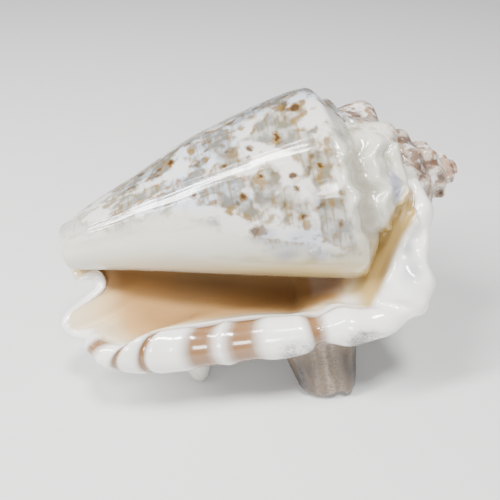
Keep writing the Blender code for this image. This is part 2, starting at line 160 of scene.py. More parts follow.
@dataclass(frozen=True)
class Growth:
    """The law that the shell grows by: where each whorl's shoulder and suture lie.

    The shoulder and suture tables give turn, radius and distance below the apex. The flank
    table gives the share of the way down, the share of the shoulder's height, and the radius as
    a share of the shoulder's on the body whorl, the whorl inside it and the spire.
    """

    length: float = 80.0
    ramp: float = 0.30
    ramp_dip: float = 0.108
    ramp_curve: float = 1.3
    knobs_per_turn: float = 7.2
    knob_crowding: float = 0.3
    knob_share: float = 0.10
    knob_point: float = 1.5
    knob_spread: tuple[float, float] = (0.11, 0.075)
    knobs_end: float = -1.05
    apex_round: float = 0.35
    tip_slope: float = 0.5
    shoulder: Keys = (
        (-6.0, 1.0, 0.2), (-5.5, 1.8, 0.7), (-5.0, 2.5, 1.5), (-4.5, 3.4, 2.6),
        (-4.0, 4.6, 4.2), (-3.5, 6.1, 6.1), (-3.0, 7.8, 8.4), (-2.5, 9.7, 10.7),
        (-2.0, 12.0, 12.8), (-1.5, 14.8, 15.5), (-1.0, 17.7, 21.8), (-0.75, 19.4, 24.6),
        (-0.5, 21.4, 27.2), (-0.25, 24.6, 30.6), (0.0, 28.0, 34.0), (0.25, 29.5, 36.0),
    )
    suture: Keys = (
        (-6.0, 0.2, 0.0), (-5.5, 0.9, 0.3), (-5.0, 1.5, 0.8), (-4.5, 2.2, 1.6),
        (-4.0, 3.0, 2.8), (-3.5, 4.0, 4.3), (-3.0, 5.2, 6.2), (-2.5, 6.5, 8.4),
        (-2.0, 7.8, 11.2), (-1.5, 10.5, 14.1), (-1.0, 13.4, 18.2), (-0.5, 16.6, 22.7),
        (-0.25, 15.0, 21.0), (0.0, 12.5, 16.6), (0.12, 10.5, 12.6), (0.25, 8.8, 10.4),
    )
    flank: Keys = (
        (0.00, 1.000, 1.000, 1.000, 1.00), (0.08, 0.940, 0.995, 0.960, 1.05),
        (0.16, 0.883, 0.975, 0.915, 1.10), (0.28, 0.764, 0.914, 0.822, 1.00),
        (0.40, 0.641, 0.837, 0.722, 0.85), (0.52, 0.518, 0.742, 0.622, 0.70),
        (0.63, 0.391, 0.606, 0.517, 0.55), (0.74, 0.265, 0.484, 0.415, 0.45),
        (0.82, 0.180, 0.407, 0.350, 0.35), (0.90, 0.095, 0.310, 0.290, 0.28),
        (0.95, 0.045, 0.225, 0.255, 0.22), (0.98, 0.012, 0.130, 0.200, 0.15),
        (1.00, 0.0, 0.0, 0.0, 0.0),
    )

    def suture_height(self, turn: Array) -> Array:
        """Gives the distance along the axis at which the whorl at a turn starts."""
        return self.length - through(self.suture, 2, turn)

    def knob_height(self, turn: Array) -> Array:
        """Gives the height of the small knobs on the shoulder, which fade on the body whorl.

        Args:
            turn: Places on the spiral.

        Returns:
            The height at each place, in millimetres.
        """
        count = self.knobs_per_turn * turn - self.knob_crowding * turn**2
        wave = (0.5 + 0.5 * np.cos(FULL * count)) ** self.knob_point
        shown = ease((self.knobs_end - turn) / 0.2)
        return self.knob_share * through(self.shoulder, 1, turn) * wave * shown

    def section(self, turn: Array, share: Array) -> tuple[Array, Array]:
        """Traces a whorl's outline.

        Args:
            turn: Where on the spiral the whorl is cut.
            share: Place on the outline, 0 at the suture, 1 at the columella's tip.

        Returns:
            Distance along the axis, and radius.
        """
        wide, deep = through(self.shoulder, 1, turn), through(self.shoulder, 2, turn)
        start, start_deep = through(self.suture, 1, turn), through(self.suture, 2, turn)
        ramp = np.clip(share / self.ramp, 0.0, 1.0)
        down = np.clip((share - self.ramp) / (1 - self.ramp), 0.0, 1.0)
        body = ease((turn + 1.05) / 0.5)
        spire = ease((-1.0 - turn) / 0.3)
        grown = body * through(self.flank, 2, down) + (1 - body) * through(self.flank, 3, down)
        flank = grown * (1 - spire) + spire * through(self.flank, 4, down)
        dip = self.ramp_dip * np.sin(math.pi * ramp) * (wide - start)
        above = share < self.ramp
        radius = np.where(above, start + (wide - start) * ramp - dip, wide * flank)
        height = np.where(
            above,
            self.length - start_deep + (start_deep - deep) * ramp**self.ramp_curve,
            (self.length - deep) * through(self.flank, 1, down),
        )
        spread = np.where(above, *self.knob_spread)
        knobs = np.exp(-(((share - self.ramp) / spread) ** 2)) * self.knob_height(turn)
        return height, radius + knobs


@dataclass(frozen=True)
class Lip:
    """Sizes of the wall of the last half turn and of its edge.

    The edge table gives the share of the section, then how far the edge lies along, out and
    forward. The thickness table gives the wall's thickness at the edge by share. Each big knob
    has its distance along the axis, angle in degrees, height, half length, half width and how
    square its end is.
    """

    wall: float = 2.2
    hollow_end: float = -200.0 / 360.0
    flare_start: float = -40.0 / 360.0
    edge: Keys = (
        (0.000, 69.3, 1.0, 8.9), (0.030, 69.8, 4.4, 9.8), (0.055, 69.5, 7.4, 10.2),
        (0.080, 69.7, 10.4, 10.0), (0.115, 68.7, 15.0, 9.0),
        (0.150, 67.6, 19.7, 8.5), (0.180, 66.8, 23.5, 8.0),
        (0.210, 64.5, 26.4, 8.0), (0.240, 60.3, 27.7, 8.0), (0.270, 54.7, 28.4, 8.0),
        (0.300, 49.2, 28.0, 7.5), (0.370, 41.7, 29.0, 6.5), (0.450, 32.2, 28.4, 6.0),
        (0.540, 22.7, 27.6, 6.0), (0.630, 13.3, 26.2, 6.5), (0.690, 7.5, 23.9, 7.0),
        (0.730, 4.1, 20.7, 7.0), (0.765, 3.5, 18.6, 4.5), (0.800, 0.2, 17.4, 2.5),
        (0.840, -1.4, 14.2, 2.5), (0.875, -0.1, 11.8, 1.5), (0.910, 3.0, 9.8, 0.0),
        (0.940, 5.1, 8.2, -1.0), (0.970, 4.2, 5.8, -1.0), (1.000, 1.8, 3.6, 0.0),
    )
    thickness: Keys = (
        (0.0, 2.4), (0.08, 2.8), (0.18, 3.4), (0.24, 4.8), (0.30, 6.6), (0.37, 8.0),
        (0.54, 8.6), (0.66, 8.0), (0.73, 4.6), (0.765, 3.0), (0.84, 2.2), (1.0, 1.8),
    )
    knobs: Keys = (
        (42.9, -8.0, 10.2, 3.6, 4.6, 2.0), (46.6, -8.0, 11.0, 3.6, 4.6, 2.0),
        (50.3, -8.0, 13.1, 3.6, 4.6, 2.0), (46.4, -8.0, 11.3, 6.4, 4.2, 4.0),
        (20.6, -15.0, 11.2, 4.0, 4.4, 1.3), (41.5, -58.0, 11.0, 6.0, 6.0, 1.3),
        (46.0, -100.0, 3.4, 5.0, 5.0, 1.2), (49.0, -150.0, 1.8, 4.0, 4.0, 1.2),
    )

    def end_turn(self) -> float:
        """Gives the turn at which the lip's edge meets the spire."""
        return math.atan2(self.edge[0][3], self.edge[0][2]) / FULL


@dataclass(frozen=True)
class Groove:
    """The narrow channel behind the mouth, between the body and the lip's flange.

    The foot table gives, by turn, how far below the suture the flange's foot lies on the core.
    The line runs up the body's side as seen from the front: distance along, and out. The flange
    table gives how far forward the flange stands by distance along, and the cover table the
    radius at which it closes over the spire's side.
    """

    foot: Keys = (
        (-0.60, 2.86), (-0.15, 2.86), (-0.08, 4.0), (0.0, 6.6), (0.04, 6.8), (0.08, 6.6),
        (0.12, 5.6), (0.16, 4.6), (0.20, 3.2), (0.25, 2.4),
    )
    line: Keys = (
        (53.5, 22.5), (56.5, 19.0), (58.3, 16.2), (60.4, 12.7), (63.3, 8.4), (65.2, 6.4),
        (67.2, 4.4),
    )
    half_width: float = 1.3
    depth: float = 3.2
    carved_from: float = 52.0
    flange_from: float = 50.0
    flange_bank: float = 2.2
    flange: Keys = ((50.0, 7.5), (55.0, 8.5), (58.0, 9.5), (61.0, 10.5), (64.0, 11.0), (68.0, 10.5))
    cover: Keys = (
        (50.0, 10.0), (57.0, 12.0), (60.0, 15.0), (64.0, 15.4), (66.5, 15.2), (68.0, 13.4),
        (69.5, 10.0),
    )

    def right_of(self, points: Array) -> Array:
        """Gives how far points lie to the flange's side of the channel's middle.

        Args:
            points: Points in the shell's frame.

        Returns:
            Distances, below 0 on the body's side.
        """
        best = np.full(points.shape[:-1], 1e9)
        signed = np.zeros(points.shape[:-1])
        place = points[..., [0, 2]]
        for a, b in zip(self.line[:-1], self.line[1:]):
            start, run = np.array(a), np.array(b) - np.array(a)
            t = np.clip(((place - start) @ run) / (run @ run), 0.0, 1.0)
            gap = place - (start + t[..., None] * run)
            far = np.linalg.norm(gap, axis=-1)
            side = np.sign(gap[..., 0] * -run[1] + gap[..., 1] * run[0])
            signed = np.where(far < best, far * side, signed)
            best = np.minimum(best, far)
        return signed

    def carved(self, points: Array) -> Array:
        """Sinks the channel's left bank and floor into the core.

        Args:
            points: Points in the shell's frame.

        Returns:
            The points after carving.
        """
        right = self.right_of(points)
        facing = ease((points[..., 1] - 2.0) / 4.0)
        inside = ease((points[..., 0] - self.carved_from) / 5.0)
        drop = self.depth * ease((right + 1.1 * self.half_width) / (1.5 * self.half_width))
        moved = points.copy()
        moved[..., 1] -= drop * facing * inside
        return moved

    def flanged(self, points: Array, near_lip: Array) -> Array:
        """Raises the lining into the flange that closes over the spire's side.

        Args:
            points: Points in the shell's frame.
            near_lip: How near the lip each point is, from 0 to 1.

        Returns:
            The points after raising.
        """
        right = self.right_of(points) - self.half_width
        cover = through(self.cover, 1, points[..., 0])
        over = np.sqrt(np.maximum(cover**2 - points[..., 2] ** 2, 0.0))
        level = np.maximum(through(self.flange, 1, points[..., 0]), over)
        rise = ease(right / self.flange_bank) * ease((points[..., 0] - self.flange_from) / 6.0)
        moved = points.copy()
        lifted = np.maximum(points[..., 1], level)
        moved[..., 1] += (lifted - points[..., 1]) * (rise * near_lip)
        return moved


@dataclass(frozen=True)
class Mesh:
    """How finely the skin is divided."""

    wall_columns: int = 188
    face_columns: int = 52
    whorls: int = 6
    spire_rows: int = 14
    foot_rows: int = 7
    body_rows: int = 104
    edge_rows: int = 14
    samples: int = 361
    levels: int = 426
    fine: int = 49

    def per_turn(self) -> int:
        """Gives the number of columns in a turn."""
        return self.wall_columns + self.face_columns

    def rows(self) -> int:
        """Gives the number of rows from the suture to the tip."""
        return self.spire_rows + self.foot_rows + self.body_rows

    def wall_start(self) -> int:
        """Gives the index of the column at which the wall starts."""
        return self.whorls * self.per_turn()

    def mouth(self) -> int:
        """Gives the index of the column one whorl inside the lip's end."""
        return self.wall_start() - self.face_columns


@dataclass
class Sheet:
    """One grid of points of the skin, with what the finishes need to know about each point.

    The numbers are the turn, the share of the section, the depth inside the mouth and the
    distance from the lip's edge. Each may be one number, or a row or column of the grid.
    """

    points: Array
    region: Region
    turn: Array
    share: Array
    depth: Array | float = 0.0
    from_edge: Array | float = FAR

    def numbers(self) -> dict[str, Array]:
        """Gives every number at every point, by the name that the skin keeps it under.

        Returns:
            Each number over the whole grid.
        """
        kept = {
            "turn": self.turn, "share": self.share, "depth": self.depth,
            "from_edge": self.from_edge, "region": self.region.value,
        }
        return {name: np.broadcast_to(value, self.points.shape[:2]) for name, value in kept.items()}


@dataclass
class Whorls:
    """All whorls as columns of outlines, with the filled core that they add up to."""

    growth: Growth
    lip: Lip
    mesh: Mesh
    turns: Array = field(init=False)
    heights: Array = field(init=False)
    radii: Array = field(init=False)

    def __post_init__(self) -> None:
        """Traces the outline at every column."""
        end, lip_turn = self.lip.hollow_end, self.lip.end_turn()
        covered = np.linspace(end, lip_turn, self.mesh.wall_columns + 1)
        bare = np.linspace(lip_turn, end + 1, self.mesh.face_columns + 1)
        pattern = np.concatenate([covered[:-1], bare[:-1]])
        whole = [pattern + whorl for whorl in range(-self.mesh.whorls, 0)]
        self.turns = np.concatenate(whole + [covered])
        share = np.linspace(0.0, 1.0, self.mesh.samples)
        turn = self.turns[:, None] + 0 * share
        self.heights, self.radii = self.growth.section(turn, share + 0 * turn)
        self.radii[self.turns < self.growth.shoulder[0][0]] = 0.0

    def column(self, turn_index: int, along: Array) -> Array:
        """Gives the core's radius at one column.

        Args:
            turn_index: Index of the column, which counts every whorl up to it.
            along: Distances along the axis.

        Returns:
            The radius at each distance.
        """
        growth = self.growth
        apex = growth.apex_round * np.sqrt(np.maximum(growth.length - along, 0.0))
        radius = np.minimum(apex, growth.tip_slope * np.maximum(along, 0.0))
        for i in range(turn_index, -1, -self.mesh.per_turn()):
            outline = np.interp(along, self.heights[i][::-1], self.radii[i][::-1], right=0.0)
            radius = np.maximum(radius, outline)
        return radius

    def under(self, points: Array) -> Array:
        """Gives the core's radius under points of the wall.

        Args:
            points: Points in the shell's frame.

        Returns:
            The radius under each point.
        """
        last = self.mesh.wall_start()
        columns = range(last - self.mesh.per_turn(), last + 1)
        levels = np.linspace(-5.0, self.growth.length, self.mesh.levels)
        table = np.array([self.column(i, levels) for i in columns])
        turns = self.turns[list(columns)]
        turn = np.arctan2(points[..., 1], points[..., 2]) / FULL
        turn = turn - np.floor(turn - turns[0] + 1e-9)
        place = np.interp(turn, turns, np.arange(len(turns)))
        level = (points[..., 0] - levels[0]) / (levels[1] - levels[0])
        place = np.clip(place, 0, len(turns) - 1.001)
        level = np.clip(level, 0, len(levels) - 1.001)
        i, j = place.astype(int), level.astype(int)
        a, b = place - i, level - j
        near = table[i, j] * (1 - b) + table[i, j + 1] * b
        far = table[i + 1, j] * (1 - b) + table[i + 1, j + 1] * b
        return near * (1 - a) + far * a

    def emergence(self, index: int) -> tuple[float, float]:
        """Finds where a whorl comes out of the ones before it.

        Args:
            index: Index of the whorl's column.

        Returns:
            Distance along the axis and radius.
        """
        turn = self.turns[index]
        top = float(self.growth.suture_height(turn))
        if index < self.mesh.per_turn() or turn < self.growth.shoulder[0][0] + 1:
            return self.growth.length, 0.0
        low = self.growth.length - float(through(self.growth.shoulder, 2, turn))
        along = np.linspace(top, low, 81)
        before = self.column(index - self.mesh.per_turn(), along)
        own = np.interp(along, self.heights[index][::-1], self.radii[index][::-1], right=0.0)
        out = np.nonzero(own > before + 0.02)[0]
        first = int(out[0]) if len(out) else len(along) - 1
        return float(along[first]), float(before[first])

    def seams(self) -> Array:
        """Gives the line along which each whorl starts, a distance along and a radius a column.

        Returns:
            A row for each column of the whorls.
        """
        turn_columns = self.mesh.per_turn()
        last_full, mouth = self.mesh.wall_start(), self.mesh.mouth()
        opening = self.lip.hollow_end - self.turns[mouth]
        seam = np.zeros((len(self.turns), 2))
        tops = self.growth.suture_height(self.turns)
        for i in range(last_full, len(self.turns)):
            seam[i] = tops[i], float(self.column(i - turn_columns, tops[i: i + 1])[0])
        seam[mouth] = seam[mouth + turn_columns]
        for i in range(mouth + 1, last_full):
            open_share = float(ease((self.turns[i] - self.turns[mouth]) / opening))
            height = seam[mouth][0] + (seam[last_full][0] - seam[mouth][0]) * open_share
            own = float(self.column(i, np.array([height]))[0])
            before = float(self.column(i - turn_columns, np.array([height]))[0])
            seam[i] = height, own + (before - own) * open_share
        for i in range(mouth - 1, -1, -1):
            seam[i] = max(self.emergence(i), tuple(seam[i + turn_columns]))
        return seam


@dataclass
class Spire:
    """The whorls above the wall, as one ribbon that follows the spiral."""

    whorls: Whorls
    seams: Array
    rounds: int = 9
    narrow: float = 0.6

    def ribbon(self) -> Sheet:
        """Builds the ribbon from the apex to the lip's end.

        Returns:
            The sheet.
        """
        mesh, turns, growth = self.whorls.mesh, self.whorls.turns, self.whorls.growth
        last = mesh.mouth()
        start = int(np.searchsorted(turns, growth.shoulder[0][0])) - 1
        columns = []
        for i in range(start, last + 1):
            (top, top_radius), (low, low_radius) = self.seams[i], self.seams[i + mesh.per_turn()]
            fine = np.linspace(top, low, mesh.fine)
            radius = self.whorls.column(i, fine)
            radius[0], radius[-1] = top_radius, low_radius
            run = np.concatenate([[0.0], np.cumsum(np.hypot(np.diff(fine), np.diff(radius)))])
            even = np.linspace(0.0, run[-1], mesh.spire_rows + 1)
            along, across = np.full_like(even, top), np.full_like(even, top_radius)
            if i == start:
                along[:], across[:] = growth.length, 0.0
            elif run[-1] > 0:
                along, across = np.interp(even, run, fine), np.interp(even, run, radius)
            along[0], across[0], along[-1], across[-1] = top, top_radius, low, low_radius
            columns.append(cylindrical(along, across, np.full_like(along, turns[i])))
        points = np.array(columns)
        width = np.linalg.norm(points[:, -1] - points[:, 0], axis=-1)
        calm = ease((width - self.narrow) / 2.0)[:, None, None]
        soft = points + (softened(points, self.rounds) - points) * calm
        points[1:-1, 1:-1] = soft[1:-1, 1:-1]
        points[0] = points[0, 0]
        share = np.linspace(0, 0.5, mesh.spire_rows + 1)
        return Sheet(points, Region.SPIRE, turns[start: last + 1, None], share)


@dataclass
class LastWhorl:
    """The wall round the hollow, its rolled edge, and the core inside and beside it."""

    whorls: Whorls
    seams: Array
    ribbon: Sheet
    groove: Groove = field(default_factory=Groove)
    thickens_from: float = 0.62
    tucked_from: float = 0.9
    lip_part: float = 0.45
    settling_rounds: int = 700
    core_radius: float = 16.0
    dead_end_depth: float = 80.0

    def flared(self, u: Array, v: Array) -> Array:
        """Places the wall's outer face before its knobs.

        Args:
            u: Share of the way from the hollow's end to the lip.
            v: Share of the section.

        Returns:
            A grid of points.
        """
        lip = self.whorls.lip
        along, out, forward = (through(lip.edge, k, v) for k in (1, 2, 3))
        lip_turn = np.arctan2(forward, out) / FULL
        turn = lip.hollow_end + (lip_turn - lip.hollow_end) * u
        height, radius = self.whorls.growth.section(turn, v)
        start = (lip.flare_start - lip.hollow_end) / (lip_turn - lip.hollow_end)
        flare = np.clip((u - start) / (1 - start), 0.0, 1.0) ** 2
        height = height + (along - height) * flare
        radius = radius + (np.hypot(out, forward) - radius) * flare
        return cylindrical(height, radius, turn)

    def with_knobs(self, points: Array) -> Array:
        """Raises the big knobs straight out from the axis.

        Args:
            points: Points in the shell's frame.

        Returns:
            The points with the knobs.
        """
        radius = np.hypot(points[..., 1], points[..., 2])
        angle = np.arctan2(points[..., 1], points[..., 2])
        lift = np.zeros_like(radius)
        for along, degrees, height, half_length, half_width, squareness in self.whorls.lip.knobs:
            across = (angle - math.radians(degrees)) * radius
            far = ((points[..., 0] - along) / half_length) ** 2 + (across / half_width) ** 2
            lift = np.maximum(lift, height * np.exp(-(far**squareness)))
        return widened(points, 1 + lift / np.maximum(radius, 1.0))

    def outer_face(self, u: Array, v: Array) -> tuple[Array, Array]:
        """Places the wall's outer face clear of the core.

        Args:
            u: Share of the way from the hollow's end to the lip.
            v: Share of the section.

        Returns:
            A grid of points, and how much room each has above the core.
        """
        outer = self.flared(u + 0 * v, v + 0 * u)
        radius = np.hypot(outer[..., 1], outer[..., 2])
        under = self.whorls.under(outer)
        clear = np.maximum(radius, under + self.whorls.lip.wall * ease(v / 0.06))
        return widened(outer, clear / np.maximum(radius, TINY)), np.maximum(radius - under, 0.0)

    def thickness(self, u: Array, v: Array, room: Array) -> Array:
        """Gives the wall's thickness, which grows towards the lip and ends at the front tip.

        Args:
            u: Share of the way from the hollow's end to the lip.
            v: Share of the section.
            room: Height of each point above the core.

        Returns:
            The thickness at each point.
        """
        lip = self.whorls.lip
        at_lip = ease((u - self.thickens_from) / (1 - self.thickens_from))
        thick = lip.wall + (through(lip.thickness, 1, v) - lip.wall) * at_lip
        thick = np.minimum(thick, np.maximum(0.55 * room, 0.4) + 20.0 * at_lip**2)
        return thick * ease((1 - v) / 0.02)

    def inner_face(self, outer: Array, inward: Array, thick: Array,
                   v: Array) -> Array:
        """Places the lining under the outer face, tucked in at the front tip.

        Args:
            outer: Points of the outer face.
            inward: Unit vectors towards the axis.
            thick: The wall's thickness at each point.
            v: Share of the section.

        Returns:
            The lining's points.
        """
        inner = outer + inward * thick[..., None]
        girth = np.hypot(outer[..., 1], outer[..., 2])
        tucked = widened(outer, 1 - np.minimum(thick, 0.25 * girth) / np.maximum(girth, TINY))
        tucked[..., 0] += 0.6 * thick
        return inner + (tucked - inner) * ease((v - self.tucked_from) / 0.06)[None, :, None]

    def sheets(self) -> list[Sheet]:
        """Builds the bare face, the wall's two faces, its edge, the columella and the dead end.

        Returns:
            The sheets.
        """
        whorls, mesh = self.whorls, self.whorls.mesh
        first, foot = mesh.wall_start(), mesh.spire_rows + mesh.foot_rows
        wall, beside = slice(first, None), slice(mesh.mouth(), first + 1)
        v = np.linspace(0.0, 1.0, mesh.rows() + 1)
        u = np.linspace(0.0, 1.0, mesh.wall_columns + 1)[:, None]
        top = cylindrical(*self.seams[wall].T, whorls.turns[wall])
        outer, room = self.outer_face(u, v)
        outer[:, 0] = top
        normal, thick = self.facing(outer), self.thickness(u, v, room)
        inner = self.inner_face(outer, -normal, thick, v)
        edge = self.rolled_edge(outer, normal, thick)
        outer = self.with_knobs(outer)
        outer[:, 0] = top
        edge[0], edge[-1] = outer[-1], inner[-1]

        core = self.columella(v)
        face = self.bare_face(outer[0], core[-1])
        core, face = self.groove.carved(core), self.groove.carved(face)
        face[0, : mesh.spire_rows + 1] = self.ribbon.points[-1]
        face[:, 0] = cylindrical(*self.seams[beside].T, whorls.turns[beside])
        face[-1] = outer[0]
        inner[:, 0] = core[:, 0]
        upper = 0.46 - v
        loose = ease((u - self.lip_part) / 0.2) * ease(upper / 0.12)
        inner = self.settled(inner, loose, self.settling_rounds)
        near_lip = ease((u - self.lip_part) / 0.3) * ease(v / 0.02) * ease(upper / 0.16)
        inner = self.groove.flanged(inner, near_lip)
        edge[-1] = inner[-1]
        inner[:, 0] = core[:, 0]
        steps = np.round(np.linspace(0, mesh.foot_rows, mesh.edge_rows + 1)).astype(int)
        edge[:, 0] = face[0, mesh.spire_rows + steps]
        cap = np.stack([self.matched(core[0], inner[0]), inner[0]])

        wall_turn, to_edge = whorls.turns[wall, None], run_to_last(inner)
        core_turn = whorls.turns[first - mesh.per_turn(): mesh.mouth() + 1, None]
        inward = (core_turn[-1:] - core_turn) * FULL * self.core_radius
        return [
            Sheet(face, Region.FACE, whorls.turns[beside, None], v),
            Sheet(outer, Region.WALL, wall_turn, v, from_edge=run_to_last(outer)),
            Sheet(edge, Region.EDGE, whorls.turns[-1], v, -run_to_last(edge), 0.0),
            Sheet(inner, Region.LINING, wall_turn, v, to_edge, to_edge),
            Sheet(core, Region.COLUMELLA, core_turn, v[foot:], inward),
            Sheet(cap, Region.DEAD_END, core_turn[0], v, self.dead_end_depth),
        ]

    def facing(self, points: Array) -> Array:
        """Gives smooth unit normals of a grid, facing away from the axis.

        Args:
            points: Points in the shell's frame.

        Returns:
            A unit vector at each point.
        """
        normal = unit(np.cross(np.gradient(points, axis=0), np.gradient(points, axis=1)))
        middle = tuple(n // 2 for n in points.shape[:2])
        if (normal[middle][1:] * points[middle][1:]).sum() < 0:
            normal = -normal
        return unit(softened(normal, 24))

    def settled(self, lining: Array, loose: Array, rounds: int) -> Array:
        """Draws a part of the lining smooth between its foot and the lip's edge.

        Args:
            lining: Grid of points.
            loose: How free each point is, from 0 to 1.
            rounds: How many times the points are averaged.

        Returns:
            The grid, with its outermost points where they were.
        """
        points, start = lining.copy(), lining[1:-1, 1:-1]
        free = (loose + 0 * lining[..., 0])[1:-1, 1:-1, None]
        for _ in range(rounds):
            around = points[:-2, 1:-1] + points[2:, 1:-1] + points[1:-1, :-2] + points[1:-1, 2:]
            points[1:-1, 1:-1] = start + (0.25 * around - start) * free
        return points

    def rolled_edge(self, outer: Array, normal: Array, thick: Array) -> Array:
        """Rounds the lip's edge over from its outer to its inner face.

        Args:
            outer: Points of the outer face.
            normal: Unit vectors away from the axis.
            thick: The wall's thickness at each point.

        Returns:
            The edge's grid of points.
        """
        onward = unit(softened((outer[-1:] - outer[-3:-2]), 6))[0]
        half = 0.5 * thick[-1][:, None]
        middle = outer[-1] - normal[-1] * half
        angles = np.linspace(0, math.pi, self.whorls.mesh.edge_rows + 1)
        return np.array([
            middle + half * (normal[-1] * math.cos(a) + onward * math.sin(a)) for a in angles
        ])

    def columella(self, v: Array) -> Array:
        """Places the core's surface inside the hollow, from the wall's foot to the tip.

        Args:
            v: Share of the section.

        Returns:
            A grid of points.
        """
        whorls, mesh = self.whorls, self.whorls.mesh
        height, _ = whorls.growth.section(np.full_like(v, whorls.lip.hollow_end), v)
        fall = (height / height[0])[mesh.spire_rows + mesh.foot_rows:]
        columns = []
        for i in range(mesh.wall_start() - mesh.per_turn(), mesh.mouth() + 1):
            foot = self.seams[i + mesh.per_turn(), 0] - self.foot_drop(i + mesh.per_turn())
            along = foot * fall / fall[0]
            radius = whorls.column(i, along)
            radius[-1] = 0.0
            columns.append(cylindrical(along, radius, np.full_like(along, whorls.turns[i])))
        return np.array(columns)

    def bare_face(self, wall_start: Array, core_end: Array) -> Array:
        """Places the body whorl's face beside the mouth, between the lip's end and the wall.

        Args:
            wall_start: The wall's first column.
            core_end: The columella's last column.

        Returns:
            A grid of points.
        """
        whorls, mesh = self.whorls, self.whorls.mesh
        first, mouth = mesh.wall_start(), mesh.mouth()
        lip_top, mouth_turn = self.seams[mouth, 0], whorls.turns[mouth]
        foot = lip_top - self.foot_drop(first + mesh.wall_columns)
        start = np.concatenate([
            np.full(mesh.spire_rows, lip_top),
            np.linspace(lip_top, foot, mesh.foot_rows + 1),
            core_end[1:, 0],
        ])
        columns = []
        for i in range(mouth, first + 1):
            turned = (whorls.turns[i] - mouth_turn) / (whorls.turns[first] - mouth_turn)
            open_share = float(ease(turned))
            along = start * (1 - open_share) + wall_start[:, 0] * open_share
            along[0] = self.seams[i, 0]
            radius = whorls.column(i, along)
            radius[0], radius[-1] = self.seams[i, 1], 0.0
            columns.append(cylindrical(along, radius, np.full_like(along, whorls.turns[i])))
        face = np.array(columns)
        face[0, : mesh.spire_rows + 1] = self.ribbon.points[-1]
        face[0, mesh.spire_rows + mesh.foot_rows:] = core_end
        gap = wall_start - face[-1]
        pull = ease((np.arange(len(face)) / (len(face) - 1) - 0.4) / 0.6)[:, None, None]
        face[1:] = face[1:] + gap * pull[1:]
        face[-1] = wall_start
        return face

    def foot_drop(self, column: int) -> float:
        """Gives how far below the suture the wall's lining meets the core."""
        return float(through(self.groove.foot, 1, self.whorls.turns[column]))

    def matched(self, column: Array, beside: Array) -> Array:
        """Spreads the core's first column over the lining's rows for the dead end."""
        extra = len(beside) - len(column)
        return np.concatenate([np.repeat(column[:1], extra, axis=0), column])


@dataclass(frozen=True)
class Rest:
    """How the shell lies: its lean, the rise of its axis, and where its frame starts."""

    pitch: float = 37.0
    tilt: float = 11.76
    offset: Triple = (-39.1771, -4.5384, 26.0220)

    def view(self) -> tuple[Vector, Vector, Vector]:
        """Gives the directions right, up and back of the view into the mouth.

        Returns:
            The three directions.
        """
        pitch = math.radians(self.pitch)
        up = Vector((0, math.sin(pitch), math.cos(pitch)))
        return Vector((1, 0, 0)), up, Vector((0, -math.cos(pitch), math.sin(pitch)))

    def matrix(self) -> Matrix:
        """Gives the turn and move from the shell's frame, in metres.

        Returns:
            The pose.
        """
        tilt = math.radians(self.tilt)
        right, up, forward = self.view()
        along = right * math.cos(tilt) + up * math.sin(tilt)
        out = right * math.sin(tilt) - up * math.cos(tilt)
        pose = Matrix((along, forward, out)).transposed().to_4x4()
        pose.translation = Vector(self.offset) * MM
        return pose


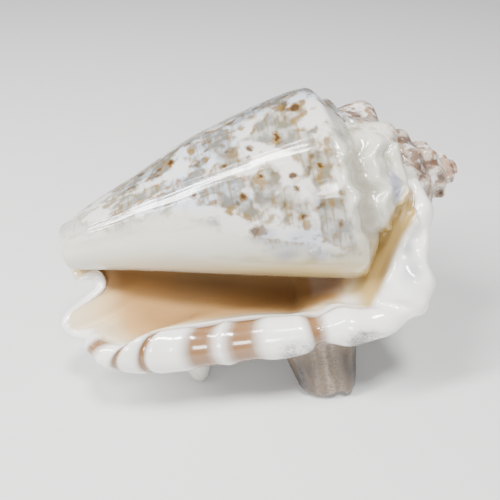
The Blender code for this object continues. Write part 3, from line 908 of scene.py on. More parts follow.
@dataclass
class Shell:
    """The whole shell as one closed skin."""

    growth: Growth = field(default_factory=Growth)
    lip: Lip = field(default_factory=Lip)
    mesh: Mesh = field(default_factory=Mesh)
    rest: Rest = field(default_factory=Rest)
    weld: float = 0.004
    flange_rounds: int = 24

    def sheets(self) -> list[Sheet]:
        """Builds every sheet of the skin.

        Returns:
            The sheets.
        """
        whorls = Whorls(self.growth, self.lip, self.mesh)
        seams = whorls.seams()
        ribbon = Spire(whorls, seams).ribbon()
        return [ribbon] + LastWhorl(whorls, seams, ribbon).sheets()

    def grow(self) -> bpy.types.Object:
        """Bends a grid into each sheet, and welds them into the skin.

        Returns:
            The shell's object, at the origin, with its place in its mesh.
        """
        skin = bmesh.new()
        names = ("turn", "share", "depth", "from_edge", "region")
        layers = {name: skin.verts.layers.float.new(name) for name in names}
        for sheet in self.sheets():
            across, down = sheet.points.shape[:2]
            numbers = sheet.numbers()
            made = bmesh.ops.create_grid(
                skin, x_segments=down - 1, y_segments=across - 1, size=0.5
            )["verts"]
            for vert in made:
                row = round((vert.co.x + 0.5) * (down - 1))
                column = round((vert.co.y + 0.5) * (across - 1))
                for name, layer in layers.items():
                    vert[layer] = numbers[name][column, row]
                vert.co = Vector(sheet.points[column, row])
        bmesh.ops.remove_doubles(skin, verts=skin.verts, dist=self.weld)
        bmesh.ops.dissolve_degenerate(skin, edges=skin.edges, dist=0.5 * self.weld)
        bmesh.ops.recalc_face_normals(skin, faces=skin.faces)
        loose = sum(not edge.is_manifold for edge in skin.edges)
        LOG.info("skin: %d points, %d faces, %d open edges", len(skin.verts), len(skin.faces), loose)
        self.soften_flange(skin, layers)
        mesh = bpy.data.meshes.new("shell_skin")
        skin.to_mesh(mesh)
        Relief().raise_on(mesh)
        Paint().spread_on(mesh)
        skin.clear()
        skin.from_mesh(mesh)
        skin.transform(self.rest.matrix() @ Matrix.Scale(MM, 4))
        self.wear_flat(skin)
        mesh.clear_geometry()
        skin.to_mesh(mesh)
        skin.free()
        mesh.shade_smooth()
        shell = bpy.data.objects.new("shell_skin", mesh)
        bpy.context.scene.collection.objects.link(shell)
        return shell

    def soften_flange(self, skin: bmesh.types.BMesh, layers: dict) -> None:
        """Blends the flange's inner face into its thick border.

        Args:
            skin: The welded skin, in millimetres.
            layers: The numbers kept at its points, by name.
        """
        sides = (Region.EDGE.value, Region.LINING.value)
        near = [
            vert for vert in skin.verts
            if round(vert[layers["region"]]) in sides
            and 0.10 < vert[layers["share"]] < 0.35
            and -5.0 < vert[layers["depth"]] < 6.0
        ]
        axes = {"use_axis_x": True, "use_axis_y": True, "use_axis_z": True}
        for _ in range(self.flange_rounds):
            bmesh.ops.smooth_vert(skin, verts=near, factor=0.5, **axes)

    def wear_flat(self, skin: bmesh.types.BMesh) -> None:
        """Cuts the skin off at the ground, which leaves a small flat on each knob it rests on.

        Args:
            skin: The skin in metres, as it lies.
        """
        parts = skin.verts[:] + skin.edges[:] + skin.faces[:]
        bmesh.ops.bisect_plane(
            skin, geom=parts, dist=1e-7, plane_co=(0, 0, 0), plane_no=(0, 0, -1), clear_outer=True
        )
        rim = [edge for edge in skin.edges if edge.is_boundary]
        flats = bmesh.ops.holes_fill(skin, edges=rim, sides=0)["faces"]
        bmesh.ops.triangulate(skin, faces=flats)


@dataclass
class Surface:
    """The skin's points as arrays, with what relief and paint need to know about each.

    Across and down are a point's place in the front view, seen from the eye's distance.
    """

    mesh: bpy.types.Mesh
    eye: float = 123.0
    middle: tuple[float, float] = (36.4, 8.8)

    def read(self, name: str) -> Array:
        """Gives one of the numbers kept at each point.

        Args:
            name: What it is called.

        Returns:
            The number at each point.
        """
        values = np.empty(len(self.mesh.vertices))
        self.mesh.attributes[name].data.foreach_get("value", values)
        return values

    def vectors(self, source: object, name: str) -> Array:
        """Gives a vector of each point.

        Args:
            source: Collection to read from.
            name: What it is called.

        Returns:
            The vector at each point.
        """
        values = np.empty(3 * len(self.mesh.vertices))
        source.foreach_get(name, values)
        return values.reshape(-1, 3)

    def __post_init__(self) -> None:
        """Reads the points, the way they face, and the numbers kept at each."""
        self.points = self.vectors(self.mesh.vertices, "co")
        self.normals = self.vectors(self.mesh.vertex_normals, "vector")
        self.turn, self.share, self.depth, self.from_edge, region = (
            self.read(name) for name in ("turn", "share", "depth", "from_edge", "region")
        )
        self.region = np.round(region).astype(int)
        self.along, self.forward, self.out = self.points.T
        self.radius = np.hypot(self.forward, self.out)
        near = self.eye / (self.eye - self.forward)
        self.across = self.middle[0] + (self.along - self.middle[0]) * near
        self.down = self.middle[1] + (self.out - self.middle[1]) * near
        self.front = ease((self.normals[:, 1] + 0.15) / 0.4)
        angle = np.degrees(np.arctan2(self.forward, self.out))
        beside = self.on(Region.COLUMELLA) * (self.turn > -1.1) * ease((angle + 1.0) / 8.0)
        self.face = self.on(Region.FACE) + beside

    def on(self, *regions: Region) -> Array:
        """Gives 1 at the points of some sheets, and 0 elsewhere."""
        return np.isin(self.region, [region.value for region in regions]).astype(float)

    def mark(self, across: float, down: float, half: float, tall: float) -> Array:
        """Gives a soft round mark at a place of the front view."""
        far = ((self.across - across) / half) ** 2 + ((self.down - down) / tall) ** 2
        return np.exp(-(far**1.5))

    def spot(self, across: float, down: float, half: float, tall: float) -> Array:
        """Gives a mark that only the surfaces that face the front have."""
        return self.mark(across, down, half, tall) * self.front

    def spots(self, places: Keys) -> Array:
        """Adds up the spots of a table of places."""
        return sum(self.spot(*place) for place in places)

    def grain(self, scale: float | Triple, seed: float) -> Array:
        """Gives soft noise from -1 to 1, with one scale or a scale for each axis."""
        places = self.points * np.array(scale) + seed
        return np.array([noise.noise(Vector(place)) for place in places])


@dataclass(frozen=True)
class Relief:
    """Low relief over the whole skin: nodules, threads, flutes, waves, growth lines and pits.

    Each ridge of the glaze has its place across the front view, half width and height.
    """

    nodule: float = 0.10
    thread: float = 0.12
    threads: int = 15
    flute: float = 0.45
    rim_line: float = 0.4
    wave: float = 0.8
    pit: float = 0.45
    fine_pit: float = 0.3
    growth_line: float = 0.035
    growth_lines: float = 95.0
    swell: float = 0.28
    flange_fold: float = 0.45
    ridges: Keys = ((58.0, 0.9, 0.95), (61.4, 1.5, -1.0), (64.8, 1.0, 1.0), (67.5, 0.8, -0.9))

    def spire(self, skin: Surface) -> Array:
        """Rounds nodules and spiral threads on the spire's whorls.

        Args:
            skin: The skin's points.

        Returns:
            The rise of each point, in millimetres.
        """
        count = 7.4 * skin.turn - 0.30 * skin.turn**2
        belt = bell(skin.share, 0.26, 0.14) * ease((skin.radius - 2.5) / 3.0)
        nodules = self.nodule * skin.radius * np.cos(FULL * count) * belt
        threads = np.cos(FULL * skin.share * self.threads) * ease((skin.radius - 2.0) / 5.0)
        rough = 0.16 * skin.grain(0.9, 7.0) + 0.08 * skin.grain(2.2, 3.0)
        fine = self.thread * threads + rough * ease(skin.radius / 5.0)
        chalk = ease((69.5 - skin.across) / -4.0)
        rim = between(skin.share, 0.0, 0.06, 0.5, 0.06)
        return skin.on(Region.SPIRE) * rim * (nodules + fine * (0.35 + 0.65 * chalk))

    def rim(self, skin: Surface) -> Array:
        """Sinks the flutes and the fine line of the lip's thick roll.

        Args:
            skin: The skin's points.

        Returns:
            The rise of each point, in millimetres.
        """
        roll = skin.on(Region.EDGE) + skin.on(Region.LINING) * ease((2.0 - skin.depth) / 2.0)
        roll = roll + skin.on(Region.WALL) * ease((7.0 - skin.from_edge) / 7.0)
        flutes = Paint.bands(skin) * roll * ease((52.0 - skin.along) / 6.0)
        line = bell(skin.depth, 0.0, 0.55) * between(skin.along, 6.0, 8.0, 58.0, 4.0)
        line = line * skin.on(Region.LINING, Region.EDGE)
        return -self.flute * flutes - self.rim_line * line

    def flange(self, skin: Surface) -> Array:
        """Waves the outer border of the flange behind the mouth.

        Args:
            skin: The skin's points.

        Returns:
            The rise of each point, in millimetres.
        """
        border = skin.on(Region.EDGE) + skin.on(Region.WALL) * ease((5.0 - skin.from_edge) / 5.0)
        border = border + skin.on(Region.LINING) * ease((5.0 - skin.depth) / 5.0)
        upper = between(skin.share, 0.0, 0.05, 0.36, 0.06)
        swing = np.sin(FULL * (skin.share - 0.02) / 0.115) + 0.4 * np.sin(FULL * skin.share / 0.047)
        return self.wave * border * upper * swing

    def growth(self, skin: Surface) -> Array:
        """Draws the fine lines that run with the lip, and slow swells.

        Args:
            skin: The skin's points.

        Returns:
            The rise of each point, in millimetres.
        """
        clear = skin.on(Region.WALL, Region.FACE) * between(skin.share, 0.0, 0.04, 0.97, 0.07)
        clear = clear * ease((skin.from_edge - 1.0) / 4.0)
        lines = np.sin(FULL * skin.turn * self.growth_lines + 3.0 * skin.grain(0.12, 2.0))
        lines = lines * (1 - Paint.callus(skin))
        swell = skin.grain((0.06, 0.12, 0.12), 5.0)
        return clear * (self.growth_line * lines + self.swell * swell)

    def folds(self, skin: Surface) -> Array:
        """Waves the glazed shoulders beside the mouth, and raises the flange's fold.

        Args:
            skin: The skin's points.

        Returns:
            The rise of each point, in millimetres.
        """
        glazed = Paint.callus(skin) * between(skin.down, -12.0, 6.0, 13.0, 5.0)
        glazed = glazed * ease(skin.share / 0.04) * ease((skin.turn + 5.0) / 0.5)
        sway = 0.9 * np.sin(0.62 * skin.down + 0.8) + 0.5 * np.sin(1.3 * skin.down)
        lift = sum(height * bell(skin.across, at + sway, half) for at, half, height in self.ridges)
        fold = bell(Groove().right_of(skin.points), 2.7, 0.55) * skin.on(Region.LINING)
        fold = fold * ease((skin.along - 55.0) / 4.0) * ease((skin.forward - 4.0) / 4.0)
        return lift * glazed + self.flange_fold * fold

    def worn(self, skin: Surface) -> Array:
        """Pits the broad foot and the chalky patches of the lip.

        Args:
            skin: The skin's points.

        Returns:
            The rise of each point, in millimetres.
        """
        pits = self.pit * np.minimum(skin.grain(0.75, 11.0), 0.0)
        fine = self.fine_pit * np.minimum(skin.grain(1.9, 4.0), 0.0)
        return (pits + fine) * Paint.chalky(skin)

    def raise_on(self, mesh: bpy.types.Mesh) -> None:
        """Moves every point of the skin along its normal.

        Args:
            mesh: The skin in millimetres, in the shell's own frame.
        """
        skin = Surface(mesh)
        parts = (self.spire, self.rim, self.flange, self.growth, self.folds, self.worn)
        lift = sum(part(skin) for part in parts)
        moved = skin.points + skin.normals * lift[:, None]
        mesh.vertices.foreach_set("co", moved.ravel())
        mesh.update()


def colour(hexes: str) -> Array:
    """Turns a screen colour into a linear one."""
    values = np.array([int(hexes[i: i + 2], 16) / 255 for i in (1, 3, 5)])
    return np.where(values <= 0.04045, values / 12.92, ((values + 0.055) / 1.055) ** 2.4)


def toward(base: Array, other: Array, share: Array) -> Array:
    """Blends colours by a share at each point."""
    return base + (other - base) * np.clip(share, 0.0, 1.0)[:, None]


def painted(base: Array, *coats: tuple[str, Array]) -> Array:
    """Lays coats over colours in order, each a screen colour and its share at each point.

    Args:
        base: Colours to start from.
        coats: Screen colours with their shares.

    Returns:
        The colours after all coats.
    """
    for tone, share in coats:
        base = toward(base, colour(tone), share)
    return base


@dataclass(frozen=True)
class Paint:
    """Where each of the shell's colours lies, and how strong its patterns are there.

    The tables of spots, smudges, patches and windows hold places across and down the front
    view with their half sizes. A band has its share of the section and half width. The border
    of the glaze is how far down it starts, by place across.
    """

    body: str = "#D6D3CB"
    callus_white: str = "#CFCBBB"
    callus_low: str = "#B9A878"
    # Painted shade for the valleys between the glaze's folds.
    shade: str = "#A29C8C"
    smudge: str = "#66657A"
    lip: str = "#EFEDE8"
    cream: str = "#E4CFA6"
    peach: str = "#CFA56E"
    blush: str = "#C4AC94"
    # Painted shade for the recesses between the spire's nodules and threads.
    recess_shade: str = "#50341F"
    tip: str = "#AE8468"
    window: str = "#9FA5AA"
    # Bluish painted shade for the fold valley beside the flange.
    blue_valley_shade: str = "#8E94AE"
    brown: str = "#AE8654"
    deep: str = "#AE8C60"
    groove: str = "#AD9158"
    tan: str = "#7C5220"
    line: str = "#8E8088"
    chalk: str = "#B5A493"
    foot: str = "#6C5740"
    pitted: str = "#1C1815"
    smear: str = "#66655F"
    sweep: float = 19.0
    rust_spots: Keys = (
        (53.4, -6.3, 0.9, 0.8), (53.7, -1.2, 0.8, 1.0), (48.1, -2.6, 0.8, 0.8), (41.5, -6.5, 0.8, 0.6),
        (55.2, 6.0, 0.7, 1.1), (48.2, 3.1, 0.9, 0.7), (38.3, 4.1, 1.2, 1.2), (40.6, -12.3, 0.9, 0.8),
        (37.3, -3.2, 0.9, 1.1), (48.0, -5.3, 1.0, 0.8), (34.8, -9.8, 1.0, 0.7), (27.9, -5.4, 1.0, 0.8),
        (51.0, -18.3, 1.3, 1.0), (46.3, -13.5, 0.8, 1.2), (24.6, -12.7, 1.0, 0.7),
    )

    smudges: Keys = (
        (48.2, 7.0, 3.6, 1.6), (43.5, 10.0, 2.6, 1.2), (50.3, 11.2, 2.0, 0.9), (40.5, 5.2, 1.8, 1.4),
        (52.2, 1.0, 1.5, 2.2),
    )
    worn_patches: Keys = ((41.5, 29.4, 2.6, 1.8), (26.4, 30.2, 1.4, 1.1), (55.0, 29.6, 3.2, 1.5))
    windows: Keys = ((67.1, 18.1, 2.6, 2.2), (67.2, 13.5, 1.2, 1.7))
    amber: Keys = ((22.2, 33.0, 2.6, 1.9),)
    tan_bands: Keys = (
        (0.722, 0.009), (0.667, 0.008), (0.612, 0.008), (0.514, 0.023), (0.446, 0.022),
        (0.330, 0.011),
    )
    callus_border: Keys = (
        (0.0, -6.0), (8.0, -4.5), (18.0, -6.0), (27.0, -5.5), (33.0, -1.5), (39.0, 2.5),
        (47.0, 6.0), (54.0, 7.5), (70.0, 7.0),
    )

    @staticmethod
    def bands(skin: Surface) -> Array:
        """Gives the tan bands that cross the lip's roll.

        Args:
            skin: The skin's points.

        Returns:
            The strength at each point.
        """
        total = np.zeros(len(skin.along))
        for middle, half in Paint.tan_bands:
            total = np.maximum(total, ease((1.7 - np.abs(skin.share - middle) / half) / 1.2))
        return total

    @staticmethod
    def callus(skin: Surface) -> Array:
        """Gives how far the smooth glaze beside the mouth covers the whorls.

        Args:
            skin: The skin's points.

        Returns:
            The cover at each point, from 0 to 1.
        """
        border = through(Paint.callus_border, 1, skin.across)
        wander = 2.6 * skin.grain(0.14, 9.0)
        low = ease((skin.down - border + wander) / 6.5)
        side = ease((skin.across + 0.5 * wander - 56.6) / 1.6) * ease((skin.down + 15.0) / 6.0)
        glazed = np.maximum(low, side) * ease(skin.forward / 5.0)
        spire = side * ease((70.0 - skin.across) / 3.0) * ease((skin.forward - 2.0) / 5.0)
        return glazed * skin.face + spire * skin.on(Region.SPIRE)

    @staticmethod
    def chalky(skin: Surface) -> Array:
        """Gives where the lip and its foot are worn dull and pitted.

        Args:
            skin: The skin's points.

        Returns:
            The wear at each point, from 0 to 1.
        """
        foot = skin.on(Region.WALL) * ease((10.5 - np.abs(skin.along - 46.5)) / 2.0)
        foot = foot * between(skin.forward, -22.0, 5.0, 14.0, 4.0)
        foot = foot * ease((skin.radius - 27.6) / 1.6)
        patches = 1.8 * skin.spots(Paint.worn_patches) * skin.on(Region.EDGE)
        return np.clip(foot + patches, 0.0, 1.0)

    def mouth(self, skin: Surface) -> Array:
        """Colours the hollow, from the cream of the lip to the brown inside.

        Args:
            skin: The skin's points.

        Returns:
            The colour at each point.
        """
        depth = skin.depth - 8.0 * skin.on(Region.COLUMELLA) + 3.0 * skin.grain(0.08, 1.0)
        near_end = ease((skin.across - 50.5) / 4.0)
        patch = between(skin.across, 46.0, 1.5, 53.6, 0.8) * ease((skin.depth - 9.0) / 4.0)
        return painted(
            colour(self.lip),
            (self.cream, ease((depth - 0.5) / 3.0)),
            (self.peach, ease((depth - 3.0) / 5.0)),
            (self.brown, ease((depth - 6.0) / 8.0)),
            (self.deep, ease((depth - 16.0) / 16.0)),
            (self.cream, 0.85 * ease((11.0 - skin.across) / 9.0)),
            (self.cream, 0.8 * near_end * ease((skin.depth - 5.0) / 6.0)),
            (self.cream, near_end * ease((20.0 - skin.depth) / 8.0)),
            (self.lip, near_end * ease((11.0 - skin.depth) / 6.0)),
            (self.blush, 0.8 * patch),
        )

    def whorls(self, skin: Surface) -> Array:
        """Colours the body and spire, with the glaze and painted shade in the valleys of its folds.

        Args:
            skin: The skin's points.

        Returns:
            The colour at each point.
        """
        callus, spire = self.callus(skin), skin.on(Region.SPIRE)
        yellow = ease((skin.down - 6.0) / 8.0) * (1 - 0.5 * ease((skin.across - 50.0) / 10.0))
        glaze = painted(colour(self.callus_white), (self.callus_low, yellow))
        # Painted shade in the glaze's fold valleys, darkest in the hollow between the first two folds.
        shades = bell(skin.across, 60.8, 1.6) * between(skin.down, -4.0, 4.0, 14.0, 6.0)
        shaded_valleys = ease((-0.1 - Relief().folds(skin)) / 0.6)
        shown = skin.face + spire
        tint = painted(colour(self.body), (self.chalk, spire * (1 - callus)))
        return painted(
            toward(tint, glaze, callus),
            (self.shade, 0.4 * shades * callus),
            (self.shade, 0.75 * shaded_valleys),
            (self.smudge, 0.6 * skin.spots(self.smudges) * shown),
            # Bluish painted shade in the fold valley beside the flange.
            (self.blue_valley_shade, 0.8 * skin.mark(67.4, 1.0, 1.1, 3.4) * shown),
        )

    def edges(self, skin: Surface, tint: Array) -> Array:
        """Colours the lip's roll and flange, paints shade into the spire's recesses, and tints the
        spire's tip.

        Args:
            skin: The skin's points.
            tint: The colours so far.

        Returns:
            The colour at each point.
        """
        rim = skin.on(Region.EDGE) + skin.on(Region.WALL) * ease((6.0 - skin.from_edge) / 4.0)
        banded = rim + skin.on(Region.LINING) * ease((1.5 - skin.depth) / 1.5)
        spire = skin.on(Region.SPIRE)
        # Painted shade: darker brown where the spire's relief sinks between its nodules and threads,
        # outside the glaze.
        shaded_recesses = ease((0.03 - Relief().spire(skin)) / 0.24) * spire * (1 - self.callus(skin))
        return painted(
            tint,
            (self.lip, rim),
            (self.tan, 0.95 * self.bands(skin) * np.clip(banded, 0, 1)),
            (self.window, 0.7 * skin.spots(self.windows) * skin.on(Region.LINING, Region.EDGE)),
            (self.tan, 0.6 * skin.spots(self.amber) * skin.on(Region.WALL)),
            (self.recess_shade, 0.7 * shaded_recesses),
            (self.tip, 0.7 * spire * ease((skin.along - 75.5) / 2.0)),
        )

    def wear(self, skin: Surface, tint: Array) -> Array:
        """Colours the worn foot and roll, the line on the roll, and the narrow channel.

        Args:
            skin: The skin's points.
            tint: The colours so far.

        Returns:
            The colour at each point.
        """
        chalky = self.chalky(skin)
        foot = chalky * skin.on(Region.WALL)
        stripes = 0.5 + 0.5 * np.sin(FULL * skin.across / 2.3 + 1.5 * skin.grain(0.3, 6.0))
        pits = skin.mark(41.2, 34.6, 3.2, 3.6) + 0.9 * skin.mark(51.4, 35.0, 2.6, 3.6)
        speckle = 0.95 + 1.1 * skin.grain(0.9, 8.0)
        smears = np.clip(0.6 + 2.2 * skin.grain((0.30, 0.9, 0.9), 12.0), 0.0, 1.0)
        line = bell(skin.depth, 0.0, 0.45) * between(skin.along, 8.0, 8.0, 58.5, 3.0)
        channel = between(Groove().right_of(skin.points), -2.6, 1.2, 2.9, 1.3)
        channel = channel * between(skin.along, 51.5, 5.0, 70.0, 3.0)
        channel = channel * (1 - skin.on(Region.EDGE, Region.WALL))
        return painted(
            tint,
            (self.foot, foot),
            (self.chalk, 0.55 * foot * stripes * bell(skin.across, 46.6, 3.0)),
            (self.pitted, pits * speckle * foot),
            (self.smear, 0.75 * smears * chalky * skin.on(Region.EDGE)),
            (self.line, 0.7 * line * skin.on(Region.LINING, Region.EDGE)),
            (self.groove, channel * ease((skin.forward - 1.0) / 3.0)),
        )

    def tint(self, skin: Surface) -> Array:
        """Gives the ground colour at each point.

        Args:
            skin: The skin's points.

        Returns:
            The colour at each point.
        """
        hollow = skin.on(Region.LINING, Region.COLUMELLA, Region.DEAD_END) * (1 - skin.face)
        tint = toward(self.whorls(skin), self.mouth(skin), hollow)
        return self.wear(skin, self.edges(skin, tint))

    def spread_on(self, mesh: bpy.types.Mesh) -> None:
        """Keeps the ground colour, the pattern's strengths and the grown frame at every point.

        Args:
            mesh: The skin in millimetres, in the shell's own frame.
        """
        skin = Surface(mesh)
        wall, spire = skin.on(Region.WALL), skin.on(Region.SPIRE)
        bare, chalky = 1 - self.callus(skin), self.chalky(skin)
        mottled = (skin.face + wall * ease((skin.from_edge - 3.0) / 5.0)) * bare * (1 - chalky)
        mottled = mottled * (0.35 + 0.65 * ease((skin.along - 3.0) / 14.0))
        mottled = mottled * (1 - wall * skin.front * ease((skin.down - 24.0) / 3.0))
        spots = skin.spots(self.rust_spots) * np.clip(skin.face + wall, 0, 1)
        swept = np.arctan2(skin.forward, skin.out)
        swept = np.where(skin.on(Region.WALL, Region.EDGE) > 0, (skin.turn + 1.0) * FULL, swept)
        swept = np.where(spire > 0, skin.turn * FULL, swept)
        layers = {
            "tint": ("FLOAT_COLOR", "color", [self.tint(skin), np.ones_like(bare)]),
            "finish": ("FLOAT_COLOR", "color", [mottled, np.clip(spire * bare, 0, 1), chalky, spots]),
            "grown": ("FLOAT_VECTOR", "vector", [skin.along, swept * self.sweep, spire * 15.0]),
        }
        for name, (kind, slot, columns) in layers.items():
            layer = mesh.attributes.new(name, kind, "POINT")
            layer.data.foreach_set(slot, np.column_stack(columns).ravel())


@dataclass
class Graph:
    """A material's nodes, added and joined by name."""

    tree: bpy.types.NodeTree

    def node(self, kind: str, inputs: dict, **settings: object) -> bpy.types.Node:
        """Adds a node.

        Args:
            kind: Type of the node.
            inputs: What goes into each of its sockets: another socket, or a value.
            settings: The node's own choices.

        Returns:
            The new node.
        """
        made = self.tree.nodes.new(kind)
        for name, value in settings.items():
            setattr(made, name, value)
        for name, value in inputs.items():
            if isinstance(value, Socket):
                self.tree.links.new(value, made.inputs[name])
            else:
                made.inputs[name].default_value = value
        return made

    def kept(self, name: str) -> bpy.types.Node:
        """Reads what the skin keeps under a name."""
        return self.node("ShaderNodeAttribute", {}, attribute_name=name)

    def stretched(self, place: Socket, scale: Triple) -> Socket:
        """Stretches a frame."""
        return self.node("ShaderNodeMapping", {"Vector": place, "Scale": scale}).outputs[0]

    def noise(self, place: Socket, scale: Triple, detail: float = 3.0, twist: float = 0.0) -> Socket:
        """Gives noise in a stretched frame.

        Args:
            place: Frame to read in.
            scale: Stretch for each axis.
            detail: How many finer layers it has.
            twist: How much it is bent.

        Returns:
            The noise.
        """
        moved = self.stretched(place, scale)
        inputs = {"Vector": moved, "Scale": 1.0, "Detail": detail, "Distortion": twist}
        return self.node("ShaderNodeTexNoise", inputs).outputs["Fac"]

    def cloud(self, place: Socket, cloud: "Cloud") -> Socket:
        """Gives noise between the two levels of a cloud."""
        return self.band(self.noise(place, cloud.scale, cloud.detail), cloud.low, cloud.high)

    def band(self, value: Socket, low: float, high: float) -> Socket:
        """Gives a smooth rise from 0 at low to 1 at high, or a fall where high is below low.

        Args:
            value: Number to read.
            low: Where it gives 0.
            high: Where it gives 1.

        Returns:
            The rise.
        """
        return self.node(
            "ShaderNodeMapRange", {"Value": value, "From Min": low, "From Max": high},
            interpolation_type="SMOOTHSTEP",
        ).outputs["Result"]

    def maths(self, operation: str, a: object, b: object) -> Socket:
        """Joins two numbers."""
        return self.node("ShaderNodeMath", {0: a, 1: b}, operation=operation).outputs[0]

    def times(self, first: object, *others: object) -> Socket:
        """Multiplies numbers.

        Args:
            first: First number.
            others: Numbers to multiply it by.

        Returns:
            The product.
        """
        for other in others:
            first = self.maths("MULTIPLY", first, other)
        return first

    def blend(self, share: object, a: object, b: object) -> Socket:
        """Blends two colours.

        Args:
            share: How much of the second shows.
            a: First colour.
            b: Second colour.

        Returns:
            The blend.
        """
        plain = (tuple, list, Array)
        a, b = ((*value, 1.0) if isinstance(value, plain) else value for value in (a, b))
        return self.node("ShaderNodeMix", {0: share, 6: a, 7: b}, data_type="RGBA").outputs[2]

    def lay(self, ground: Socket, tone: str, *shares: object) -> Socket:
        """Lays a screen colour over a ground, as far as all of the shares say."""
        return self.blend(self.times(*shares), ground, colour(tone))


@dataclass(frozen=True)
class Cloud:
    """Soft noise: its scale for each axis, the levels that it starts and is full at, its detail."""

    scale: Triple
    low: float
    high: float
    detail: float = 3.0


@dataclass(frozen=True)
class Porcelain:
    """The shell's finish: glazed white with mottles, a chalky spire and worn patches."""

    name: str = "shell_porcelain"
    blue_white: str = "#C3CAD6"
    khaki: str = "#4E4420"
    grey: str = "#585A52"
    fringe: str = "#7A5A10"
    rust: str = "#3C2208"
    brown: str = "#4C3611"
    chalk_brown: str = "#5E3B28"
    chalk_tan: str = "#8C6232"
    chalk_white: str = "#ECE8E2"
    dark: str = "#4A4541"
    bluish: Cloud = Cloud((0.05, 0.09, 1.0), 0.45, 0.60)
    zones: Cloud = Cloud((0.06, 0.05, 1.0), 0.24, 0.40, 1.0)
    crumbs: Cloud = Cloud((0.50, 0.42, 1.0), 0.44, 0.62, 2.0)
    greyish: Cloud = Cloud((0.13, 0.11, 1.0), 0.42, 0.58, 1.0)
    breaks: Cloud = Cloud((0.40, 0.34, 1.0), 0.32, 0.60, 2.0)
    streaks: Cloud = Cloud((1.6, 0.16, 1.0), 0.50, 0.66, 2.0)
    flecks: Cloud = Cloud((0.30, 0.27, 1.0), 0.58, 0.68, 2.0)
    cracks: Cloud = Cloud((1.7, 2.6, 2.6), 0.44, 0.66, 5.0)
    stains: tuple[tuple[Cloud, float, str], ...] = (
        (Cloud((0.5, 0.6, 0.6), 0.50, 0.62, 4.0), 0.8, chalk_white),
        (Cloud((0.30, 0.42, 0.42), 0.50, 0.60, 4.0), 0.75, chalk_brown),
        (Cloud((0.55, 0.35, 0.35), 0.54, 0.64, 4.0), 0.7, chalk_tan),
        (Cloud((1.8, 1.8, 1.8), 0.62, 0.68, 4.0), 0.6, dark),
    )
    coat: float = 0.6
    coat_roughness: float = 0.04
    ior: float = 1.52

    def patched(self, graph: Graph, ground: Socket, place: Socket, amount: Socket) -> Socket:
        """Lays the body's patches, with their fringes and fine streaks, over the ground colour.

        Args:
            graph: The material's nodes.
            ground: The colour so far.
            place: Frame to read in.
            amount: How strong the pattern is.

        Returns:
            The colour with the patches.
        """
        ground = graph.lay(ground, self.blue_white, graph.cloud(place, self.bluish), amount)
        wobble = graph.times(graph.noise(place, (0.9, 0.7, 1.0), 2.0), 0.07)
        field_noise = graph.noise(place, (0.16, 0.15, 1.0), 2.0, 0.3)
        field_noise = graph.maths("ADD", field_noise, wobble)
        zone = graph.times(graph.cloud(place, self.zones), amount)
        inner = graph.times(graph.band(field_noise, 0.47, 0.565), zone)
        near = graph.times(graph.band(field_noise, 0.42, 0.54), zone)
        ring = graph.times(graph.band(field_noise, 0.43, 0.50), graph.band(field_noise, 0.61, 0.53))
        khaki, grey = colour(self.khaki), colour(self.grey)
        patch = graph.blend(graph.cloud(place, self.greyish), khaki, grey)
        broken = graph.times(graph.cloud(place, self.breaks), 0.42)
        filled = graph.maths("ADD", broken, 0.42)
        ground = graph.blend(graph.times(inner, filled), ground, patch)
        crumbs, streaks = graph.cloud(place, self.crumbs), graph.cloud(place, self.streaks)
        ground = graph.lay(ground, self.fringe, ring, crumbs, zone, 0.8)
        ground = graph.lay(ground, self.fringe, streaks, near, 0.55)
        return graph.lay(ground, self.brown, graph.cloud(place, self.flecks), zone, 0.75)

    def spotted(self, graph: Graph, ground: Socket, place: Socket, amount: Socket,
                spots: Socket) -> Socket:
        """Lays scattered and placed rust spots over the ground colour.

        Args:
            graph: The material's nodes.
            ground: The colour so far.
            place: Frame to read in.
            amount: How strong the pattern is.
            spots: Where the placed spots lie.

        Returns:
            The colour with the spots.
        """
        inputs = {"Vector": graph.stretched(place, (0.19, 0.16, 1.0)), "Scale": 1.0}
        cells = graph.node(
            "ShaderNodeTexVoronoi", inputs | {"Randomness": 0.9}, feature="F1"
        ).outputs
        chosen = graph.node("ShaderNodeSeparateColor", {0: cells["Color"]}).outputs[0]
        chosen = graph.times(graph.band(chosen, 0.42, 0.50), amount)
        ragged = graph.times(graph.noise(place, (0.9, 0.8, 1.0), 3.0), 0.42)
        ragged = graph.maths("ADD", cells["Distance"], ragged)
        placed = graph.times(graph.noise(place, (1.1, 0.8, 1.0), 3.0), 0.9)
        placed = graph.maths("ADD", spots, placed)
        for tone, share, scattered_levels, placed_levels in (
            (self.fringe, 0.65, (0.46, 0.32), (0.72, 0.98)),
            (self.rust, 0.85, (0.33, 0.22), (0.98, 1.30)),
        ):
            scattered = graph.times(graph.band(ragged, *scattered_levels), chosen)
            spot = graph.maths("MAXIMUM", scattered, graph.band(placed, *placed_levels))
            ground = graph.lay(ground, tone, spot, share)
        return ground

    def make(self) -> bpy.types.Material:
        """Builds the material.

        Returns:
            The finish for the whole shell.
        """
        material = bpy.data.materials.new(self.name)
        material.use_nodes = True
        graph = Graph(material.node_tree)
        shader = material.node_tree.nodes["Principled BSDF"]
        grown = graph.kept("grown").outputs["Vector"]
        place = graph.node("ShaderNodeTexCoord", {}).outputs["Object"]
        place = graph.stretched(place, (1 / MM, 1 / MM, 1 / MM))
        kept = graph.kept("finish").outputs
        finish = graph.node("ShaderNodeSeparateColor", {0: kept["Color"]}).outputs
        mottled, chalk, worn = finish[0], finish[1], finish[2]
        tint = graph.kept("tint").outputs["Color"]
        tint = self.patched(graph, tint, grown, mottled)
        tint = self.spotted(graph, tint, grown, mottled, kept["Alpha"])
        for cloud, strength, tone in self.stains:
            tint = graph.lay(tint, tone, graph.cloud(place, cloud), chalk, strength)
        tint = graph.lay(tint, self.dark, graph.cloud(place, self.cracks), worn, 0.65)

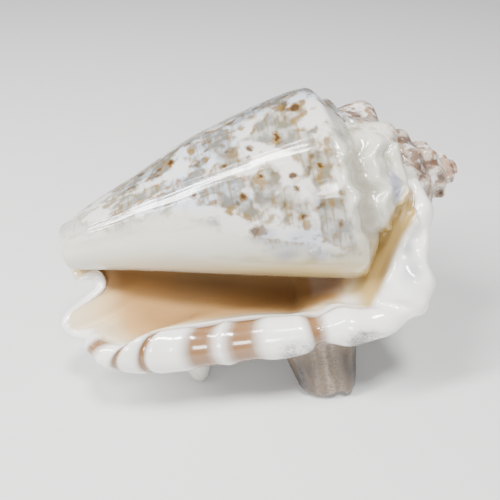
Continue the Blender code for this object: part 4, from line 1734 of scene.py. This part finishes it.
        dull = graph.maths("MAXIMUM", chalk, worn)
        rough = graph.maths("ADD", graph.times(dull, 0.42), 0.13)
        uneven = graph.times(graph.noise(place, (0.2, 0.2, 0.2)), 0.08)
        coarse = graph.maths("ADD", graph.times(dull, 0.5), 0.02)
        coarse = graph.times(graph.noise(place, (1.3, 1.3, 1.3), 5.0), coarse)
        fine = graph.times(mottled, 0.06)
        fine = graph.times(graph.noise(grown, (0.25, 2.2, 1.0), 2.0), fine)
        height = graph.maths("ADD", coarse, fine)
        bump = {"Strength": 0.7, "Distance": 0.0005, "Height": height}
        for slot, value in (
            ("Base Color", tint),
            ("Roughness", graph.maths("ADD", rough, uneven)),
            ("Normal", graph.node("ShaderNodeBump", bump).outputs[0]),
        ):
            graph.tree.links.new(value, shader.inputs[slot])
        shader.inputs["Coat Weight"].default_value = self.coat
        shader.inputs["Coat Roughness"].default_value = self.coat_roughness
        shader.inputs["IOR"].default_value = self.ior
        return material


@dataclass(frozen=True)
class Studio:
    """The floor, the soft lights and the camera."""

    lens: float = 44.64
    place: Triple = (-1.881, -102.771, 100.046)
    aim: Triple = (0, 0, 0.03)
    surroundings: float = 0.36

    def floor(self) -> bpy.types.Object:
        """Lays a plain pale floor.

        Returns:
            The floor.
        """
        bm = bmesh.new()
        bmesh.ops.create_grid(bm, x_segments=1, y_segments=1, size=1.5)
        mesh = bpy.data.meshes.new("floor")
        bm.to_mesh(mesh)
        bm.free()
        floor = bpy.data.objects.new("floor", mesh)
        bpy.context.scene.collection.objects.link(floor)
        material = bpy.data.materials.new("floor")
        material.use_nodes = True
        shader = material.node_tree.nodes["Principled BSDF"]
        shader.inputs["Base Color"].default_value = (0.72, 0.72, 0.71, 1.0)
        shader.inputs["Roughness"].default_value = 0.7
        mesh.materials.append(material)
        return floor

    def camera(self, rest: Rest) -> bpy.types.Object:
        """Sets the camera that looks straight into the mouth.

        Args:
            rest: How the shell lies.

        Returns:
            The camera.
        """
        camera = bpy.data.objects.new("camera", bpy.data.cameras.new("camera"))
        camera.data.lens = self.lens
        camera.data.sensor_width = 36.0
        camera.data.clip_start = 0.005
        place = Matrix.Translation(Vector(self.place) * MM)
        camera.matrix_world = place @ Matrix(rest.view()).transposed().to_4x4()
        bpy.context.scene.collection.objects.link(camera)
        bpy.context.scene.camera = camera
        return camera

    def lamp(self, name: str, place: Triple, wide: float, tall: float, power: float) -> None:
        """Hangs one soft box that looks at the shell.

        Args:
            name: The lamp's name.
            place: Where it hangs, in metres.
            wide: Its width in metres.
            tall: Its height in metres.
            power: Its power in watts.
        """
        light = bpy.data.lights.new(name, "AREA")
        light.shape = "RECTANGLE"
        light.size, light.size_y, light.energy = wide, tall, power
        lamp = bpy.data.objects.new(name, light)
        aim = Vector(self.aim) - Vector(place)
        turned = aim.to_track_quat("-Z", "Y").to_matrix().to_4x4()
        lamp.matrix_world = Matrix.Translation(place) @ turned
        bpy.context.scene.collection.objects.link(lamp)

    def lights(self) -> None:
        """Hangs the soft lights and sets the pale surroundings."""
        self.lamp("key", (-0.27, -0.10, 0.36), 0.06, 0.36, 4.4)
        self.lamp("front", (-0.04, -0.52, 0.30), 0.14, 0.14, 2.2)
        self.lamp("top", (0.04, -0.12, 0.45), 0.08, 0.08, 2.4)
        world = bpy.data.worlds.new("surroundings")
        world.use_nodes = True
        background = world.node_tree.nodes["Background"]
        background.inputs["Color"].default_value = (0.5, 0.52, 0.55, 1.0)
        background.inputs["Strength"].default_value = self.surroundings
        bpy.context.scene.world = world


def main() -> None:
    """Builds the shell and its studio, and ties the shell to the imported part."""
    logging.basicConfig(level=logging.INFO, format="%(name)s: %(message)s")
    shell_maker = Shell()
    shell = shell_maker.grow()
    shell.data.materials.append(Porcelain().make())
    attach(shell, "root")
    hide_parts("conch_shell")
    LOG.info("shell_skin: %d faces", len(shell.data.polygons))
    studio = Studio()
    studio.floor()
    studio.camera(shell_maker.rest)
    studio.lights()


if __name__ == "__main__":
    main()
